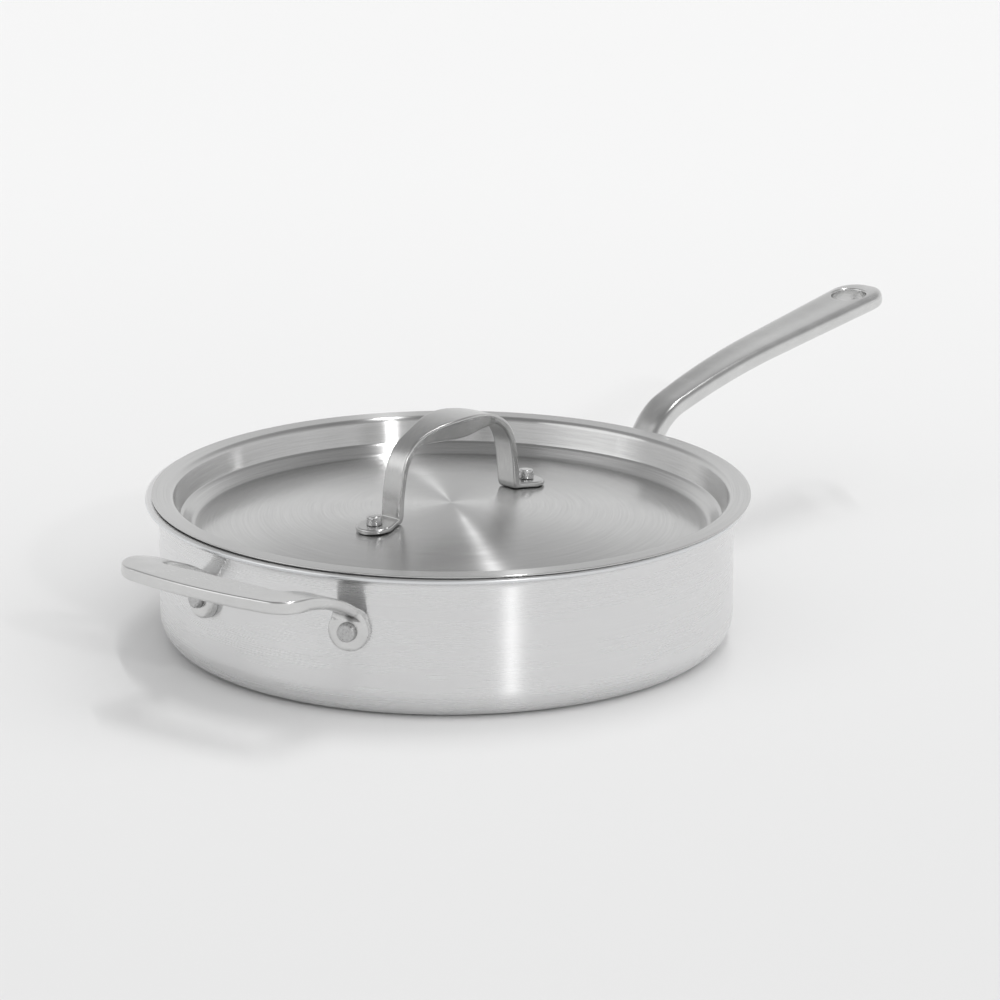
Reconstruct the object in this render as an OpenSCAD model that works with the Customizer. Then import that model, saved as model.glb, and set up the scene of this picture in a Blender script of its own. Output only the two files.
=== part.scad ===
// Saute pan with lid: three-ply pan body, long handle, helper handle and lift-off lid.
// The origin is the centre of the base on the worktop, +Z is up and +X runs along the long handle.

/* [Pan body] */
// Outside diameter of the straight wall
pan_d = 276; // [220:2:320]
// Height of the rim above the worktop
pan_h = 70.8; // [66:0.2:100]
// Outside radius between the base and the wall
corner_r = 14; // [8:0.5:17]
// How far the rolled lip stands out from the wall
lip_reach = 6.6; // [5.8:0.1:9]
// Radius of the bend under the lip
lip_bend_r = 4; // [3:0.1:4.4]
// Thickness of the magnetic steel outer ply
outer_ply_t = 0.5; // [0.4:0.05:0.8]
// Thickness of the aluminium core ply
core_ply_t = 1.7; // [1.2:0.1:3]
// Thickness of the cooking-surface steel ply
inner_ply_t = 0.5; // [0.4:0.05:0.8]

/* [Rivets] */
// Shank diameter of the handle rivets
shank_d = 5.6; // [4:0.1:6]
// Diameter of the formed outer head
head_d = 9.4; // [8:0.1:10]
// Height of the formed outer head
head_h = 3; // [2:0.1:4]
// Diameter of the low cap inside the pan
cap_d = 11; // [9:0.1:12]
// Height of the low cap inside the pan
cap_h = 2.4; // [1.5:0.1:3]
// Radial clearance of a shank in its hole
hole_gap = 0.05; // [0.03:0.01:0.1]
// Clearance between a flat head and the curved sheet under it
seat_gap = 0.15; // [0.12:0.01:0.25]

/* [Long handle] */
// Distance from the wall to the handle's tip
handle_len = 213; // [165:1:262]
// Depth below the rim at which the neck's centre line leaves the wall
neck_drop = 30.2; // [25:0.1:34]
// Rise of the neck above the horizontal
neck_angle = 47; // [40:1:52]
// Straight length of the neck
neck_len = 37; // [33:0.5:44]
// Centre-line radius of the bend above the neck
neck_bend_r = 33; // [22:1:45]
// Rise of the grip where it leaves the bend
grip_start_angle = 14.5; // [10:0.5:18]
// Rise of the grip's straight outer half
grip_angle = 6; // [3:0.5:9]
// Length over which the grip straightens
grip_curve_len = 78; // [50:1:100]
// Width of the neck at the bend
neck_w = 17.4; // [12:0.2:19]
// Width of the grip at its round end
grip_w = 29.4; // [24:0.2:31]
// Thickness of the grip
grip_t = 9.8; // [8:0.1:13]
// Depth of the shallow dish along the top of the grip
dish_d = 0.7; // [0.2:0.1:1.2]
// Thickness of the pad riveted to the wall
pad_t = 4.6; // [3.5:0.1:6]
// Distance between the two upper rivets
pad_rivet_gap = 30; // [28:0.5:34]
// Depth of the two upper rivets below the rim
pad_drop = 23.8; // [19:0.2:26]
// Depth of the lower rivet below the two upper ones
pad_rivet_drop = 22; // [18:0.5:23]
// Radius of the pad round each rivet
pad_r = 8; // [7:0.25:9]
// Diameter of the hanging hole
hang_hole_d = 18; // [10:0.5:19]
// Distance from the hanging hole to the tip
hang_hole_inset = 19; // [17:0.5:26]
// Radius that rounds the hanging hole's edges
hang_edge_r = 0.9; // [0.5:0.1:2.2]

/* [Helper handle] */
// Distance from the wall to the helper handle's outer edge
helper_out = 48; // [38:1:62]
// Depth of the helper handle's top face below the rim
helper_drop = 2.8; // [-7:0.2:9]
// Width over the two arms
helper_w = 109; // [96:1:120]
// Depth of the flat plate held by the fingers
plate_w = 20.5; // [16:0.5:24]
// Thickness of the plate
plate_t = 6.5; // [5:0.1:8]
// How far the outer edge bows out in the middle
plate_bow = 3; // [1:0.1:5]
// Width of each arm
arm_w = 16.5; // [14:0.5:19]
// Radius of the plate's outer corners
plate_corner_r = 16; // [10:0.5:17]
// Radius of the finger opening's corners
finger_corner_r = 6; // [4:0.5:9]
// Depth of the flat part of the plate, from its outer edge to where it starts to slope
flat_depth = 14; // [10:0.5:16]
// Steepest slope of the arms before they turn down to the ears
arm_slope = 33; // [25:1:40]
// Centre-line radius of the bend above each ear
ear_bend_r = 6.5; // [5:0.5:9]
// Thickness of each riveted ear
ear_t = 4.6; // [3.5:0.1:6]
// Half width of each arm where it bends down into the ear
ear_neck_r = 7.4; // [6.5:0.1:8]
// Half width of each ear
ear_r = 10; // [8.5:0.25:11]
// Depth of the ear's rivet below the helper handle's top face
ear_drop = 25; // [24:0.5:34]
// Distance between the two ears' rivets
ear_rivet_gap = 87; // [82:0.5:92]
// Turn of the two ears round the pan against the plate
ear_turn = 2.2; // [-2.5:0.1:2.5]

/* [Lid] */
// How far the lid's edge lies inside the lip's edge
lid_inset = 0.8; // [0.4:0.1:4]
// Thickness of the lid's sheet
lid_t = 1.1; // [0.8:0.1:1.6]
// Width of the flat rim
lid_rim_w = 9; // [7:0.5:11]
// Depth from the rim to the ledge
ledge_depth = 12; // [9:0.5:14]
// Width of the sloping band from the ledge to the floor
band_w = 6.5; // [5:0.5:9]
// Depth from the rim to the floor's outer edge
floor_depth = 17; // [14.5:0.5:22]
// How far the floor domes up in the middle
dome_rise = 10.8; // [6:0.2:12]
// Gap between the rim of the lid and the lip that it rests on
lid_gap = 0.3; // [0.2:0.05:0.5]
// Sideways play taken up by the lid, along the long handle
lid_shift_x = 1.2; // [-1.3:0.1:1.3]
// Sideways play taken up by the lid, across the long handle
lid_shift_y = -1.9; // [-2:0.1:2]
// Turn of the lid handle against the long handle
lid_turn = -3.5; // [-90:0.5:90]

/* [Lid handle] */
// Distance from the lid's centre to each rivet
foot_x = 53.6; // [46:0.2:70]
// Radius of each round foot
foot_r = 9.1; // [8:0.1:11]
// Distance from the rivet to the leg's bend
foot_len = 10.1; // [8:0.1:12]
// Thickness of each foot
foot_t = 2.7; // [2.2:0.1:4]
// Thickness of the strap
strap_t = 4; // [3:0.1:5]
// Width of each leg
leg_w = 11.6; // [9:0.2:14]
// Width of the strap at the crown
crown_w = 20.6; // [16:0.2:26]
// Centre-line radius of the bend above each foot
foot_bend_r = 2.6; // [2.4:0.1:5]
// Straight length of each leg
leg_len = 4.2; // [1:0.1:14]
// Radius of each leg's curved stretch
leg_curve_r = 95; // [60:1:140]
// Lean of the leg's straight stretch above the horizontal
leg_angle = 86; // [82:0.5:88]
// Rise of the leg where the shoulder begins
shoulder_start = 76; // [70:0.5:80]
// Radius of the shoulder
shoulder_r = 20; // [14:0.5:26]
// Rise of the strap where the shoulder ends
shoulder_end = 22.5; // [18:0.5:30]
// How far the crown's underside bows down between the shoulders
crown_belly = 1.7; // [0:0.1:3]
// Shank diameter of the lid rivets
lid_shank_d = 4.6; // [3.5:0.1:5]
// Diameter of the lid rivets' outer head
lid_head_d = 7.8; // [6.5:0.1:9]
// Height of the lid rivets' outer head
lid_head_h = 4.5; // [2.5:0.1:5.5]
// Diameter of the low cap under the lid
lid_cap_d = 10; // [8:0.1:11]
// Height of the low cap under the lid
lid_cap_h = 2; // [1:0.1:2.6]

/* [Hidden] */

// Round surfaces are drawn finely enough to follow the real curve
$fn = 96;

// Pan body
pan_r = pan_d / 2;
handle_reach = pan_r + handle_len;
helper_reach = pan_r + helper_out;
neck_z = pan_h - neck_drop;
pad_upper_z = pan_h - pad_drop;
pad_lower_z = pad_upper_z - pad_rivet_drop;
helper_z = pan_h - helper_drop;
ear_rivet_z = helper_z - ear_drop;
wall_t = outer_ply_t + core_ply_t + inner_ply_t;
inside_r = pan_r - wall_t;
lip_r = pan_r + lip_reach;
bend_start_z = pan_h - wall_t - lip_bend_r;
corner_steps = 10;
lip_steps = 8;
edge_steps = 8;

// Offset of the wall's outline by a depth below the outer face, from the centre to the lip's bend
function shell_line(depth) = concat(
    [[0, depth]],
    [for (i = [0:corner_steps])
        let (a = -90 + 90 * i / corner_steps)
        [pan_r - corner_r + (corner_r - depth) * cos(a), corner_r + (corner_r - depth) * sin(a)]],
    [for (i = [0:lip_steps])
        let (a = 180 - 90 * i / lip_steps)
        [pan_r + lip_bend_r + (lip_bend_r + depth) * cos(a), bend_start_z + (lip_bend_r + depth) * sin(a)]]
);

// The lip's cut edge is ground to a half round over the whole sheet
function lip_edge(depth_from, depth_to) = [
    for (i = [0:edge_steps])
        let (
            depth = depth_from + (depth_to - depth_from) * i / edge_steps,
            from_middle = depth - wall_t / 2,
            half = sqrt(max(0, pow(wall_t / 2, 2) - pow(from_middle, 2)))
        )
        [lip_r - wall_t / 2 + half, bend_start_z + lip_bend_r + depth]
];

function reversed(list) = [for (i = [len(list) - 1:-1:0]) list[i]];

// One ply of the clad sheet, between two depths below the outer face
module ply(depth_from, depth_to) {
    difference() {
        rotate_extrude()
            polygon(concat(
                shell_line(depth_from),
                lip_edge(depth_from, depth_to),
                reversed(shell_line(depth_to))
            ));
        pan_rivet_places() rivet_hole(shank_d);
    }
}

// Rivets
hole_reach = 30;
rivet_round = 1;

module rivet_hole(d) {
    translate([0, 0, -hole_reach / 2]) cylinder(d = d + 2 * hole_gap, h = hole_reach);
}

// A rivet along +Z: a low cap below the sheet, the shank, and the formed head above the pad
module rivet(shank, clamp, head, head_height, cap, cap_height) {
    cap_steps = 6;
    round_steps = 4;
    head_base = clamp + seat_gap;
    head_top = head_base + head_height;
    rotate_extrude()
        polygon(concat(
            [for (i = [0:cap_steps])
                let (a = 90 * i / cap_steps)
                [cap / 2 * sin(a), -seat_gap - cap_height * cos(a)]],
            [[shank / 2, -seat_gap], [shank / 2, head_base], [head / 2, head_base]],
            [for (i = [0:round_steps])
                let (a = 90 * i / round_steps)
                [head / 2 - rivet_round + rivet_round * cos(a), head_top - rivet_round + rivet_round * sin(a)]],
            [[0, head_top]]
        ));
}

// A rivet's axis points out of the wall, from the cooking surface outwards
module on_wall(angle, height) {
    rotate([0, 0, angle]) translate([inside_r, 0, height]) rotate([0, 90, 0]) children();
}

pad_rivet_angle = asin(pad_rivet_gap / 2 / pan_r);
ear_angle = asin(ear_rivet_gap / 2 / (pan_r + ear_t / 2));

module pad_rivet_places() {
    for (side = [-1, 1]) on_wall(side * pad_rivet_angle, pad_upper_z) children();
    on_wall(0, pad_lower_z) children();
}

module ear_rivet_places() {
    for (side = [-1, 1]) on_wall(180 + ear_turn + side * ear_angle, ear_rivet_z) children();
}

module pan_rivet_places() {
    pad_rivet_places() children();
    ear_rivet_places() children();
}

// Skin over a list of closed rings with the same number of points
module skin(rings) {
    n = len(rings[0]);
    m = len(rings);
    polyhedron(
        points = [for (ring = rings) each ring],
        faces = concat(
            [[for (j = [n - 1:-1:0]) j]],
            [for (i = [0:m - 2]) for (j = [0:n - 1])
                let (k = (j + 1) % n)
                each [
                    [i * n + j, i * n + k, (i + 1) * n + k],
                    [i * n + j, (i + 1) * n + k, (i + 1) * n + j]
                ]],
            [[for (j = [0:n - 1]) (m - 1) * n + j]]
        )
    );
}

// A flat bar's section: half width above and below, thickness, radius of the upper edges and of the lower edges
function bar_section(half_w, t, top_r, low_r, low_half_w) =
    let (
        upper = min(top_r, half_w * 0.9, t * 0.45),
        lower = min(low_r, low_half_w * 0.9, t * 0.5)
    )
    concat(
        [for (a = [0:45:90]) [half_w - upper + upper * cos(a), t / 2 - upper + upper * sin(a)]],
        [for (a = [90:45:180]) [-half_w + upper + upper * cos(a), t / 2 - upper + upper * sin(a)]],
        [for (a = [180:30:270]) [-low_half_w + lower + lower * cos(a), -t / 2 + lower + lower * sin(a)]],
        [for (a = [270:30:360]) [low_half_w - lower + lower * cos(a), -t / 2 + lower + lower * sin(a)]]
    );

// A ring: the section placed at a centre, with its width along one vector and its thickness along another
function placed(section, centre, across, up) = [for (p = section) centre + across * p[0] + up * p[1]];

// Long handle
tip_r = grip_w / 2;
bend_len = neck_bend_r * (neck_angle - grip_start_angle) * PI / 180;

// Small steps of length and turn, from which the centre line is added up
neck_step = 4;
bend_step = 3;
grip_step = 10;
function even_steps(length, turn, count) = [for (i = [1:count]) [length / count, turn / count]];
function walk(point, heading, steps, i = 0) =
    i >= len(steps) ? [[point, heading]] : concat(
        [[point, heading]],
        walk(
            point + steps[i][0] * [cos(heading + steps[i][1] / 2), sin(heading + steps[i][1] / 2)],
            heading + steps[i][1],
            steps,
            i + 1
        )
    );

handle_curve = walk(
    [pan_r - 1, neck_z],
    neck_angle,
    concat(
        even_steps(neck_len, 0, round(neck_len / neck_step)),
        even_steps(bend_len, grip_start_angle - neck_angle, round(bend_len / bend_step)),
        even_steps(grip_curve_len, grip_angle - grip_start_angle, round(grip_curve_len / grip_step))
    )
);
curve_end = handle_curve[len(handle_curve) - 1];
straight_len = (handle_reach - tip_r - curve_end[0][0]) / cos(grip_angle);
tip_start = curve_end[0] + straight_len * [cos(grip_angle), sin(grip_angle)];
straight_count = round(straight_len / grip_step);
tip_count = 9;
tip_sweep = 84;
handle_line = concat(
    [for (station = handle_curve) [station[0], station[1], 0]],
    [for (i = [1:straight_count])
        [curve_end[0] + (tip_start - curve_end[0]) * i / straight_count, grip_angle, 0]],
    [for (i = [1:tip_count])
        let (a = tip_sweep * i / tip_count)
        [tip_start + tip_r * sin(a) * [cos(grip_angle), sin(grip_angle)], grip_angle, a]]
);

// The handle is narrowest at the bend, flares into the pad and widens evenly towards the tip
root_w = 24;
root_flare_len = 16;
waist_x = handle_curve[round(neck_len / neck_step)][0][0];
function handle_half_w(x) =
    x < waist_x
        ? neck_w / 2 + (root_w - neck_w) / 2 * pow(max(0, 1 - (x - pan_r) / root_flare_len), 2)
        : neck_w / 2 + (grip_w - neck_w) / 2 * (x - waist_x) / (tip_start[0] - waist_x);

// A rounded bar with a flatter face above than below and a shallow dish along its top
top_power = 0.56;
low_power = 0.72;
dish_share = 0.75;
tip_t_share = 0.35;
function grip_section(half_w, t, dish) = [
    for (i = [0:23])
        let (
            a = 15 * i,
            power = sin(a) > 0 ? top_power : low_power,
            across = half_w * sign(cos(a)) * pow(abs(cos(a)), power),
            rise = t / 2 * sign(sin(a)) * pow(abs(sin(a)), power),
            hollow = sin(a) > 0 ? dish * max(0, 1 - pow(across / (dish_share * half_w), 2)) : 0
        )
        [across, rise - hollow]
];

handle_rings = [
    for (station = handle_line)
        let (
            x = station[0][0],
            a = station[1],
            round_off = cos(station[2]),
            half_w = max(0.8, handle_half_w(min(x, tip_start[0])) * round_off),
            t = grip_t * (tip_t_share + (1 - tip_t_share) * sqrt(round_off)),
            dish = dish_d * (x > waist_x ? round_off : 0)
        )
        placed(grip_section(half_w, t, dish), [x, 0, station[0][1]], [0, -1, 0], [-sin(a), 0, cos(a)])
];

hang_x = handle_reach - hang_hole_inset;
hang_z = tip_start[1] + (hang_x - tip_start[0]) * tan(grip_angle);

// The pad's outline seen from outside: a rounded triangle round three rivets, drawn as one hull of arcs
pad_half = pan_r * sin(pad_rivet_angle);
pad_side_angle = atan2(pad_half, pad_upper_z - pad_lower_z);
pad_outline = concat(
    [for (a = [0:15:90]) [pad_half + pad_r * sin(a), pad_upper_z + pad_r * cos(a)]],
    [for (a = [90:15:180 - pad_side_angle]) [pad_half + pad_r * sin(a), pad_upper_z + pad_r * cos(a)]],
    [for (i = [0:8])
        let (a = 90 + (90 - pad_side_angle) + (2 * pad_side_angle) * i / 8)
        [pad_r * sin(a), pad_lower_z + pad_r * cos(a)]],
    [for (a = [180 + pad_side_angle:15:270]) [-pad_half + pad_r * sin(a), pad_upper_z + pad_r * cos(a)]],
    [for (a = [270:15:360]) [-pad_half + pad_r * sin(a), pad_upper_z + pad_r * cos(a)]]
);

module pad() {
    intersection() {
        difference() {
            cylinder(r = pan_r + pad_t, h = pan_h);
            translate([0, 0, -1]) cylinder(r = pan_r, h = pan_h + 2);
        }
        translate([pan_r - pad_t * 2, 0, 0])
            rotate([90, 0, 90]) linear_extrude(height = pad_t * 4) polygon(pad_outline);
    }
}

// The hanging hole is a true bore whose two edges are rounded over
module hang_hole() {
    half_t = grip_t / 2;
    round_steps = 6;
    bore_r = hang_hole_d / 2;
    translate([hang_x, 0, hang_z]) rotate([0, -grip_angle, 0]) {
        translate([0, 0, -grip_t]) cylinder(r = bore_r, h = 2 * grip_t);
        for (flip = [0, 180]) rotate([flip, 0, 0])
            rotate_extrude()
                polygon(concat(
                    [[0, half_t - hang_edge_r]],
                    [for (i = [0:round_steps])
                        let (a = 90 * i / round_steps)
                        [bore_r + hang_edge_r * (1 - cos(a)), half_t - dish_d - hang_edge_r * (1 - sin(a))]],
                    [[bore_r + hang_edge_r, half_t + 2], [0, half_t + 2]]
                ));
    }
}

// Helper handle, drawn with its reach along +X and turned to -X at the end
arm_half = helper_w / 2;
grip_mid_z = helper_z - plate_t / 2;
inner_edge_x = helper_reach - plate_w;
outer_corner_x = helper_reach - plate_bow - plate_corner_r;
outer_corner_y = arm_half - plate_corner_r;
inner_corner_x = inner_edge_x - finger_corner_r;
inner_corner_y = arm_half - arm_w - finger_corner_r;
ear_centre_r = pan_r + ear_t / 2;
arm_start_x = (inner_corner_x + outer_corner_x) / 2;
arm_start_y = arm_half - arm_w / 2;
slope_start_x = helper_reach - flat_depth;
crisp_r = 1;
soft_r = 2.4;

// Radius of the arc along which an arm slopes down to an ear at a place along the reach
function arm_curve_r(ear_x) = (slope_start_x - ear_x - ear_bend_r * (1 - sin(arm_slope))) / sin(arm_slope);

// Drop of the bar below the plate's level: one arc that starts at the edge of the flat part
function arm_drop(x, curve_r) = curve_r - sqrt(pow(curve_r, 2) - pow(max(0, slope_start_x - x), 2));

// A ring of the plate between its inner and outer edge; the share of the drop grows towards the corners
function flat_ring(inner, outer, share, curve_r) =
    let (
        low = [inner[0], inner[1], grip_mid_z - share * arm_drop(inner[0], curve_r)],
        high = [outer[0], outer[1], grip_mid_z - share * arm_drop(outer[0], curve_r)],
        half = (high - low) / 2,
        across = half / norm(half),
        level = [across[1], -across[0], 0] / norm([across[1], -across[0], 0])
    )
    placed(
        bar_section(norm(half), plate_t, crisp_r, soft_r, norm(half)),
        (low + high) / 2,
        across,
        cross(level, across)
    );

// Bow of the plate's outer edge: a parabola that is full in the middle and nothing at the corners
function plate_rings(curve_r) = [
    for (i = [0:5])
        let (
            u = i / 6,
            inner = [inner_edge_x, inner_corner_y * u],
            outer = [helper_reach - plate_bow * u * u, outer_corner_y * u]
        )
        flat_ring(inner, outer, u * u, curve_r)
];
function corner_rings(curve_r) = [
    for (i = [0:7])
        let (
            a = 90 * i / 7,
            inner = [inner_corner_x + finger_corner_r * cos(a), inner_corner_y + finger_corner_r * sin(a)],
            outer = [outer_corner_x + plate_corner_r * cos(a), outer_corner_y + plate_corner_r * sin(a)]
        )
        flat_ring(inner, outer, 1, curve_r)
];

// A ring of an arm or ear: the middle of the bar, the slope below the horizontal, the turn towards the wall,
// the skew, the half width, the thickness, and how much is added inside and taken off outside
function arm_ring(middle, slope, turn, skew, half_w, t, inside = 0, outside = 0) =
    let (up = [-sin(slope) * cos(turn), -sin(slope) * sin(turn), cos(slope)])
    placed(
        bar_section(half_w, t + inside - outside, crisp_r, soft_r, half_w),
        middle + up * (inside + outside) / 2,
        [skew - sin(turn), cos(turn), skew * tan(min(slope, 45))],
        up
    );

// The ear's inner side starts inside the wall's line and is trimmed to the wall's curve
hidden_t = 1.4;
arm_skew = (outer_corner_x - inner_corner_x) / arm_w;
function arm_rings(ear, curve_r) = [
    let (start_slope = asin((slope_start_x - arm_start_x) / curve_r))
    for (i = [1:6])
        let (u = i / 6, slope = start_slope + (arm_slope - start_slope) * u)
        arm_ring(
            [
                slope_start_x - curve_r * sin(slope),
                arm_start_y + (ear[1] - arm_start_y) * u,
                grip_mid_z - curve_r * (1 - cos(slope))
            ],
            slope,
            0,
            arm_skew * pow(max(0, 1 - 1.5 * u), 2),
            arm_w / 2 + (ear_neck_r - arm_w / 2) * u,
            plate_t + (ear_t - plate_t) * u
        )
];

// An ear is a disc round its rivet that narrows upwards to the neck along two tangents
neck_taper = 17;
function ear_half_w(z) =
    let (above = z - ear_rivet_z)
    above > ear_r * sin(neck_taper)
        ? max(ear_neck_r, (ear_r - above * sin(neck_taper)) / cos(neck_taper))
        : sqrt(max(0.01, ear_r * ear_r - above * above));
function bend_rings(ear, angle, arm_end_z) = [
    for (i = [1:6])
        let (
            u = i / 6,
            slope = arm_slope + (90 - arm_slope) * u,
            z = arm_end_z - ear_bend_r * (cos(arm_slope) - cos(slope))
        )
        arm_ring(
            [ear[0] + ear_bend_r * (1 - sin(slope)), ear[1], z],
            slope, angle * u, 0, ear_half_w(z), ear_t, hidden_t * u
        )
];
ear_steps = 12;
ear_foot_angle = 88;
ear_foot_z = ear_rivet_z - ear_r * sin(ear_foot_angle);
function ear_rings(ear, angle, top_z) = [
    for (i = [1:ear_steps])
        let (
            z = ear_foot_z + (top_z - ear_foot_z) * (1 - sin(90 * i / ear_steps)),
            rounding = max(0, soft_r - (z - ear_rivet_z + ear_r))
        )
        arm_ring(
            [ear[0], ear[1], z], 90, angle, 0, ear_half_w(z), ear_t,
            hidden_t, soft_r - sqrt(soft_r * soft_r - rounding * rounding)
        )
];

// One half of the handle, from the middle of the plate to the foot of an ear at an angle round the pan
function helper_half(angle) =
    let (
        ear = ear_centre_r * [cos(angle), sin(angle)],
        curve_r = arm_curve_r(ear[0]),
        arm_end_z = grip_mid_z - curve_r * (1 - cos(arm_slope))
    )
    concat(
        plate_rings(curve_r),
        corner_rings(curve_r),
        arm_rings(ear, curve_r),
        bend_rings(ear, angle, arm_end_z),
        ear_rings(ear, angle, arm_end_z - ear_bend_r * cos(arm_slope))
    );

// The other half is the mirror image, with each ring run the other way round to keep its faces outwards
function mirrored(ring) = [for (p = ring) [p[0], -p[1], p[2]]];
near_half = helper_half(ear_angle + ear_turn);
far_half = helper_half(ear_angle - ear_turn);
helper_rings = concat(
    [for (ring = reversed(far_half)) mirrored(ring)],
    [for (i = [1:len(near_half) - 1]) near_half[i]]
);

// Lid
rim_top_z = pan_h + lid_gap + lid_t;
lid_r = lip_r - lid_inset;
rim_in_r = lid_r - lid_rim_w;
step_run = 4.5;
ledge_w = 1.5;
ledge_fall = 0.7;
ledge_r = rim_in_r - step_run;
floor_r = ledge_r - ledge_w - band_w;
ledge_z = rim_top_z - ledge_depth;
floor_z = rim_top_z - floor_depth;
dome_r = (floor_r * floor_r + dome_rise * dome_rise) / (2 * dome_rise);
dome_centre_z = floor_z + dome_rise - dome_r;
dome_steps = 24;
lid_edge_r = 0.45;

// Height of the dome's upper face over a point at a distance from the lid's centre
function dome_z(x) = dome_centre_z + sqrt(dome_r * dome_r - x * x);

// Round over one corner of an outline: the corner, the points before and after it, and the radius
function rounded(before, corner, after, r, count) =
    let (
        u = (before - corner) / norm(before - corner),
        v = (after - corner) / norm(after - corner),
        half = acos(u * v) / 2,
        mid = (u + v) / norm(u + v),
        centre = corner + mid * r / sin(half),
        from = corner + u * r / tan(half) - centre,
        to = corner + v * r / tan(half) - centre,
        sweep = 180 - 2 * half
    )
    [for (i = [0:count])
        let (t = i / count)
        centre + (from * sin((1 - t) * sweep) + to * sin(t * sweep)) / sin(sweep)];

rim_bend_run = 1.4;
groove_w = 2;
rim_corner = [rim_in_r - rim_bend_run, rim_top_z];
wall_foot = [ledge_r, ledge_z];
band_top = [ledge_r - ledge_w, ledge_z - ledge_fall];
band_foot = [floor_r + groove_w, floor_z];
lid_top_line = concat(
    [for (i = [0:dome_steps])
        let (x = floor_r * i / dome_steps)
        [x, dome_z(x)]],
    rounded([floor_r, floor_z], band_foot, band_top, 4, 5),
    rounded(band_foot, band_top, wall_foot, 1.2, 2),
    rounded(band_top, wall_foot, rim_corner, 0.8, 2),
    rounded(wall_foot, rim_corner, [lid_r, rim_top_z], 3, 5),
    [[lid_r - lid_edge_r, rim_top_z], [lid_r, rim_top_z - lid_edge_r]]
);

// The underside is the same line moved square to itself by the sheet's thickness
function line_normal(line, i) =
    let (
        before = line[max(i - 1, 0)],
        after = line[min(i + 1, len(line) - 1)],
        run = (after - before) / norm(after - before)
    )
    [run[1], -run[0]];
lid_top_count = len(lid_top_line) - 2;
lid_under_line = [
    for (i = [0:lid_top_count - 1])
        i == 0 ? lid_top_line[0] - [0, lid_t] : lid_top_line[i] + lid_t * line_normal(lid_top_line, i)
];

module lid_place() {
    translate([lid_shift_x, lid_shift_y, 0]) rotate([0, 0, lid_turn]) children();
}

// The rivets stand square to the domed floor
dome_tilt = asin(foot_x / dome_r);
module lid_rivet_places() {
    for (side = [0, 180])
        rotate([0, 0, side]) translate([foot_x, 0, dome_z(foot_x)]) rotate([0, dome_tilt, 0]) children();
}

// Lid handle: one half of the strap's centre line, from the foot's tip up to the crown
foot_lift = foot_t / 2 + seat_gap;
foot_line = [
    for (i = [0:5])
        let (s = -foot_r * cos(6 + 14 * i))
        [
            foot_x - s * cos(dome_tilt) + foot_lift * sin(dome_tilt),
            dome_z(foot_x) + s * sin(dome_tilt) + foot_lift * cos(dome_tilt),
            dome_tilt,
            sqrt(foot_r * foot_r - s * s)
        ]
];
// Steps inwards along the strap: the run is counted towards the centre, so headings rise inwards
foot_steps = 4;
foot_bend_steps = 6;
strap_walk = walk(
    [-(foot_x + foot_lift * sin(dome_tilt)), dome_z(foot_x) + foot_lift * cos(dome_tilt)],
    dome_tilt,
    concat(
        even_steps(foot_len, 0, foot_steps),
        even_steps(foot_bend_r * (leg_angle - dome_tilt) * PI / 180, leg_angle - dome_tilt, foot_bend_steps),
        even_steps(leg_len, 0, 1),
        even_steps(leg_curve_r * (leg_angle - shoulder_start) * PI / 180, shoulder_start - leg_angle, 3),
        even_steps(shoulder_r * (shoulder_start - shoulder_end) * PI / 180, shoulder_end - shoulder_start, 7)
    )
);
shoulder_top = strap_walk[len(strap_walk) - 1][0];
crown_r = -shoulder_top[0] / sin(shoulder_end);
crown_z = shoulder_top[1] + crown_r * (1 - cos(shoulder_end));
crown_line = [
    for (i = [1:7])
        let (a = shoulder_end * (1 - i / 7))
        [crown_r * sin(a), crown_z - crown_r * (1 - cos(a)), a]
];

// A foot is a disc round its rivet that narrows to the leg along two tangents
foot_diagonal = norm([foot_len, leg_w / 2]);
foot_taper = atan2(foot_len, leg_w / 2) - acos(min(1, foot_r / foot_diagonal));
function foot_half_w(s) =
    s > foot_r * sin(foot_taper)
        ? (foot_r - s * sin(foot_taper)) / cos(foot_taper)
        : sqrt(foot_r * foot_r - s * s);

// The strap stays narrow up the leg and widens to an oval at the crown
widen_from = 30;
function strap_half_w(x, s) =
    s < foot_len
        ? max(leg_w / 2, foot_half_w(s))
        : leg_w / 2 + (x < widen_from ? (crown_w - leg_w) / 2 * pow(cos(90 * x / widen_from), 2) : 0);

// Round the foot's bend the foot grows to the strap's thickness, and the heel outside it is nearly square
heel_share = 0.8;
function bend_share(i) = max(0, min(1, (i - foot_steps) / foot_bend_steps));
function bend_t(u) = foot_t + (strap_t - foot_t) * u * u;
function heel(u) =
    let (a = (leg_angle - dome_tilt) * min(u, 1 - u))
    heel_share * (foot_bend_r + bend_t(u) / 2) * (1 / cos(a) - 1);

// Between the shoulders the strap thickens downwards, so that its underside runs level with a slight bow
shoulder_x = -shoulder_top[0];
shoulder_under_z = shoulder_top[1] - strap_t / 2 * cos(shoulder_end);
belly_lean = 0.25;
belly_r = 2.5;
function belly(x, z, a) =
    (z - strap_t / 2 * cos(a) - shoulder_under_z + crown_belly * (1 - pow(x / shoulder_x, 2))) / cos(a);

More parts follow.
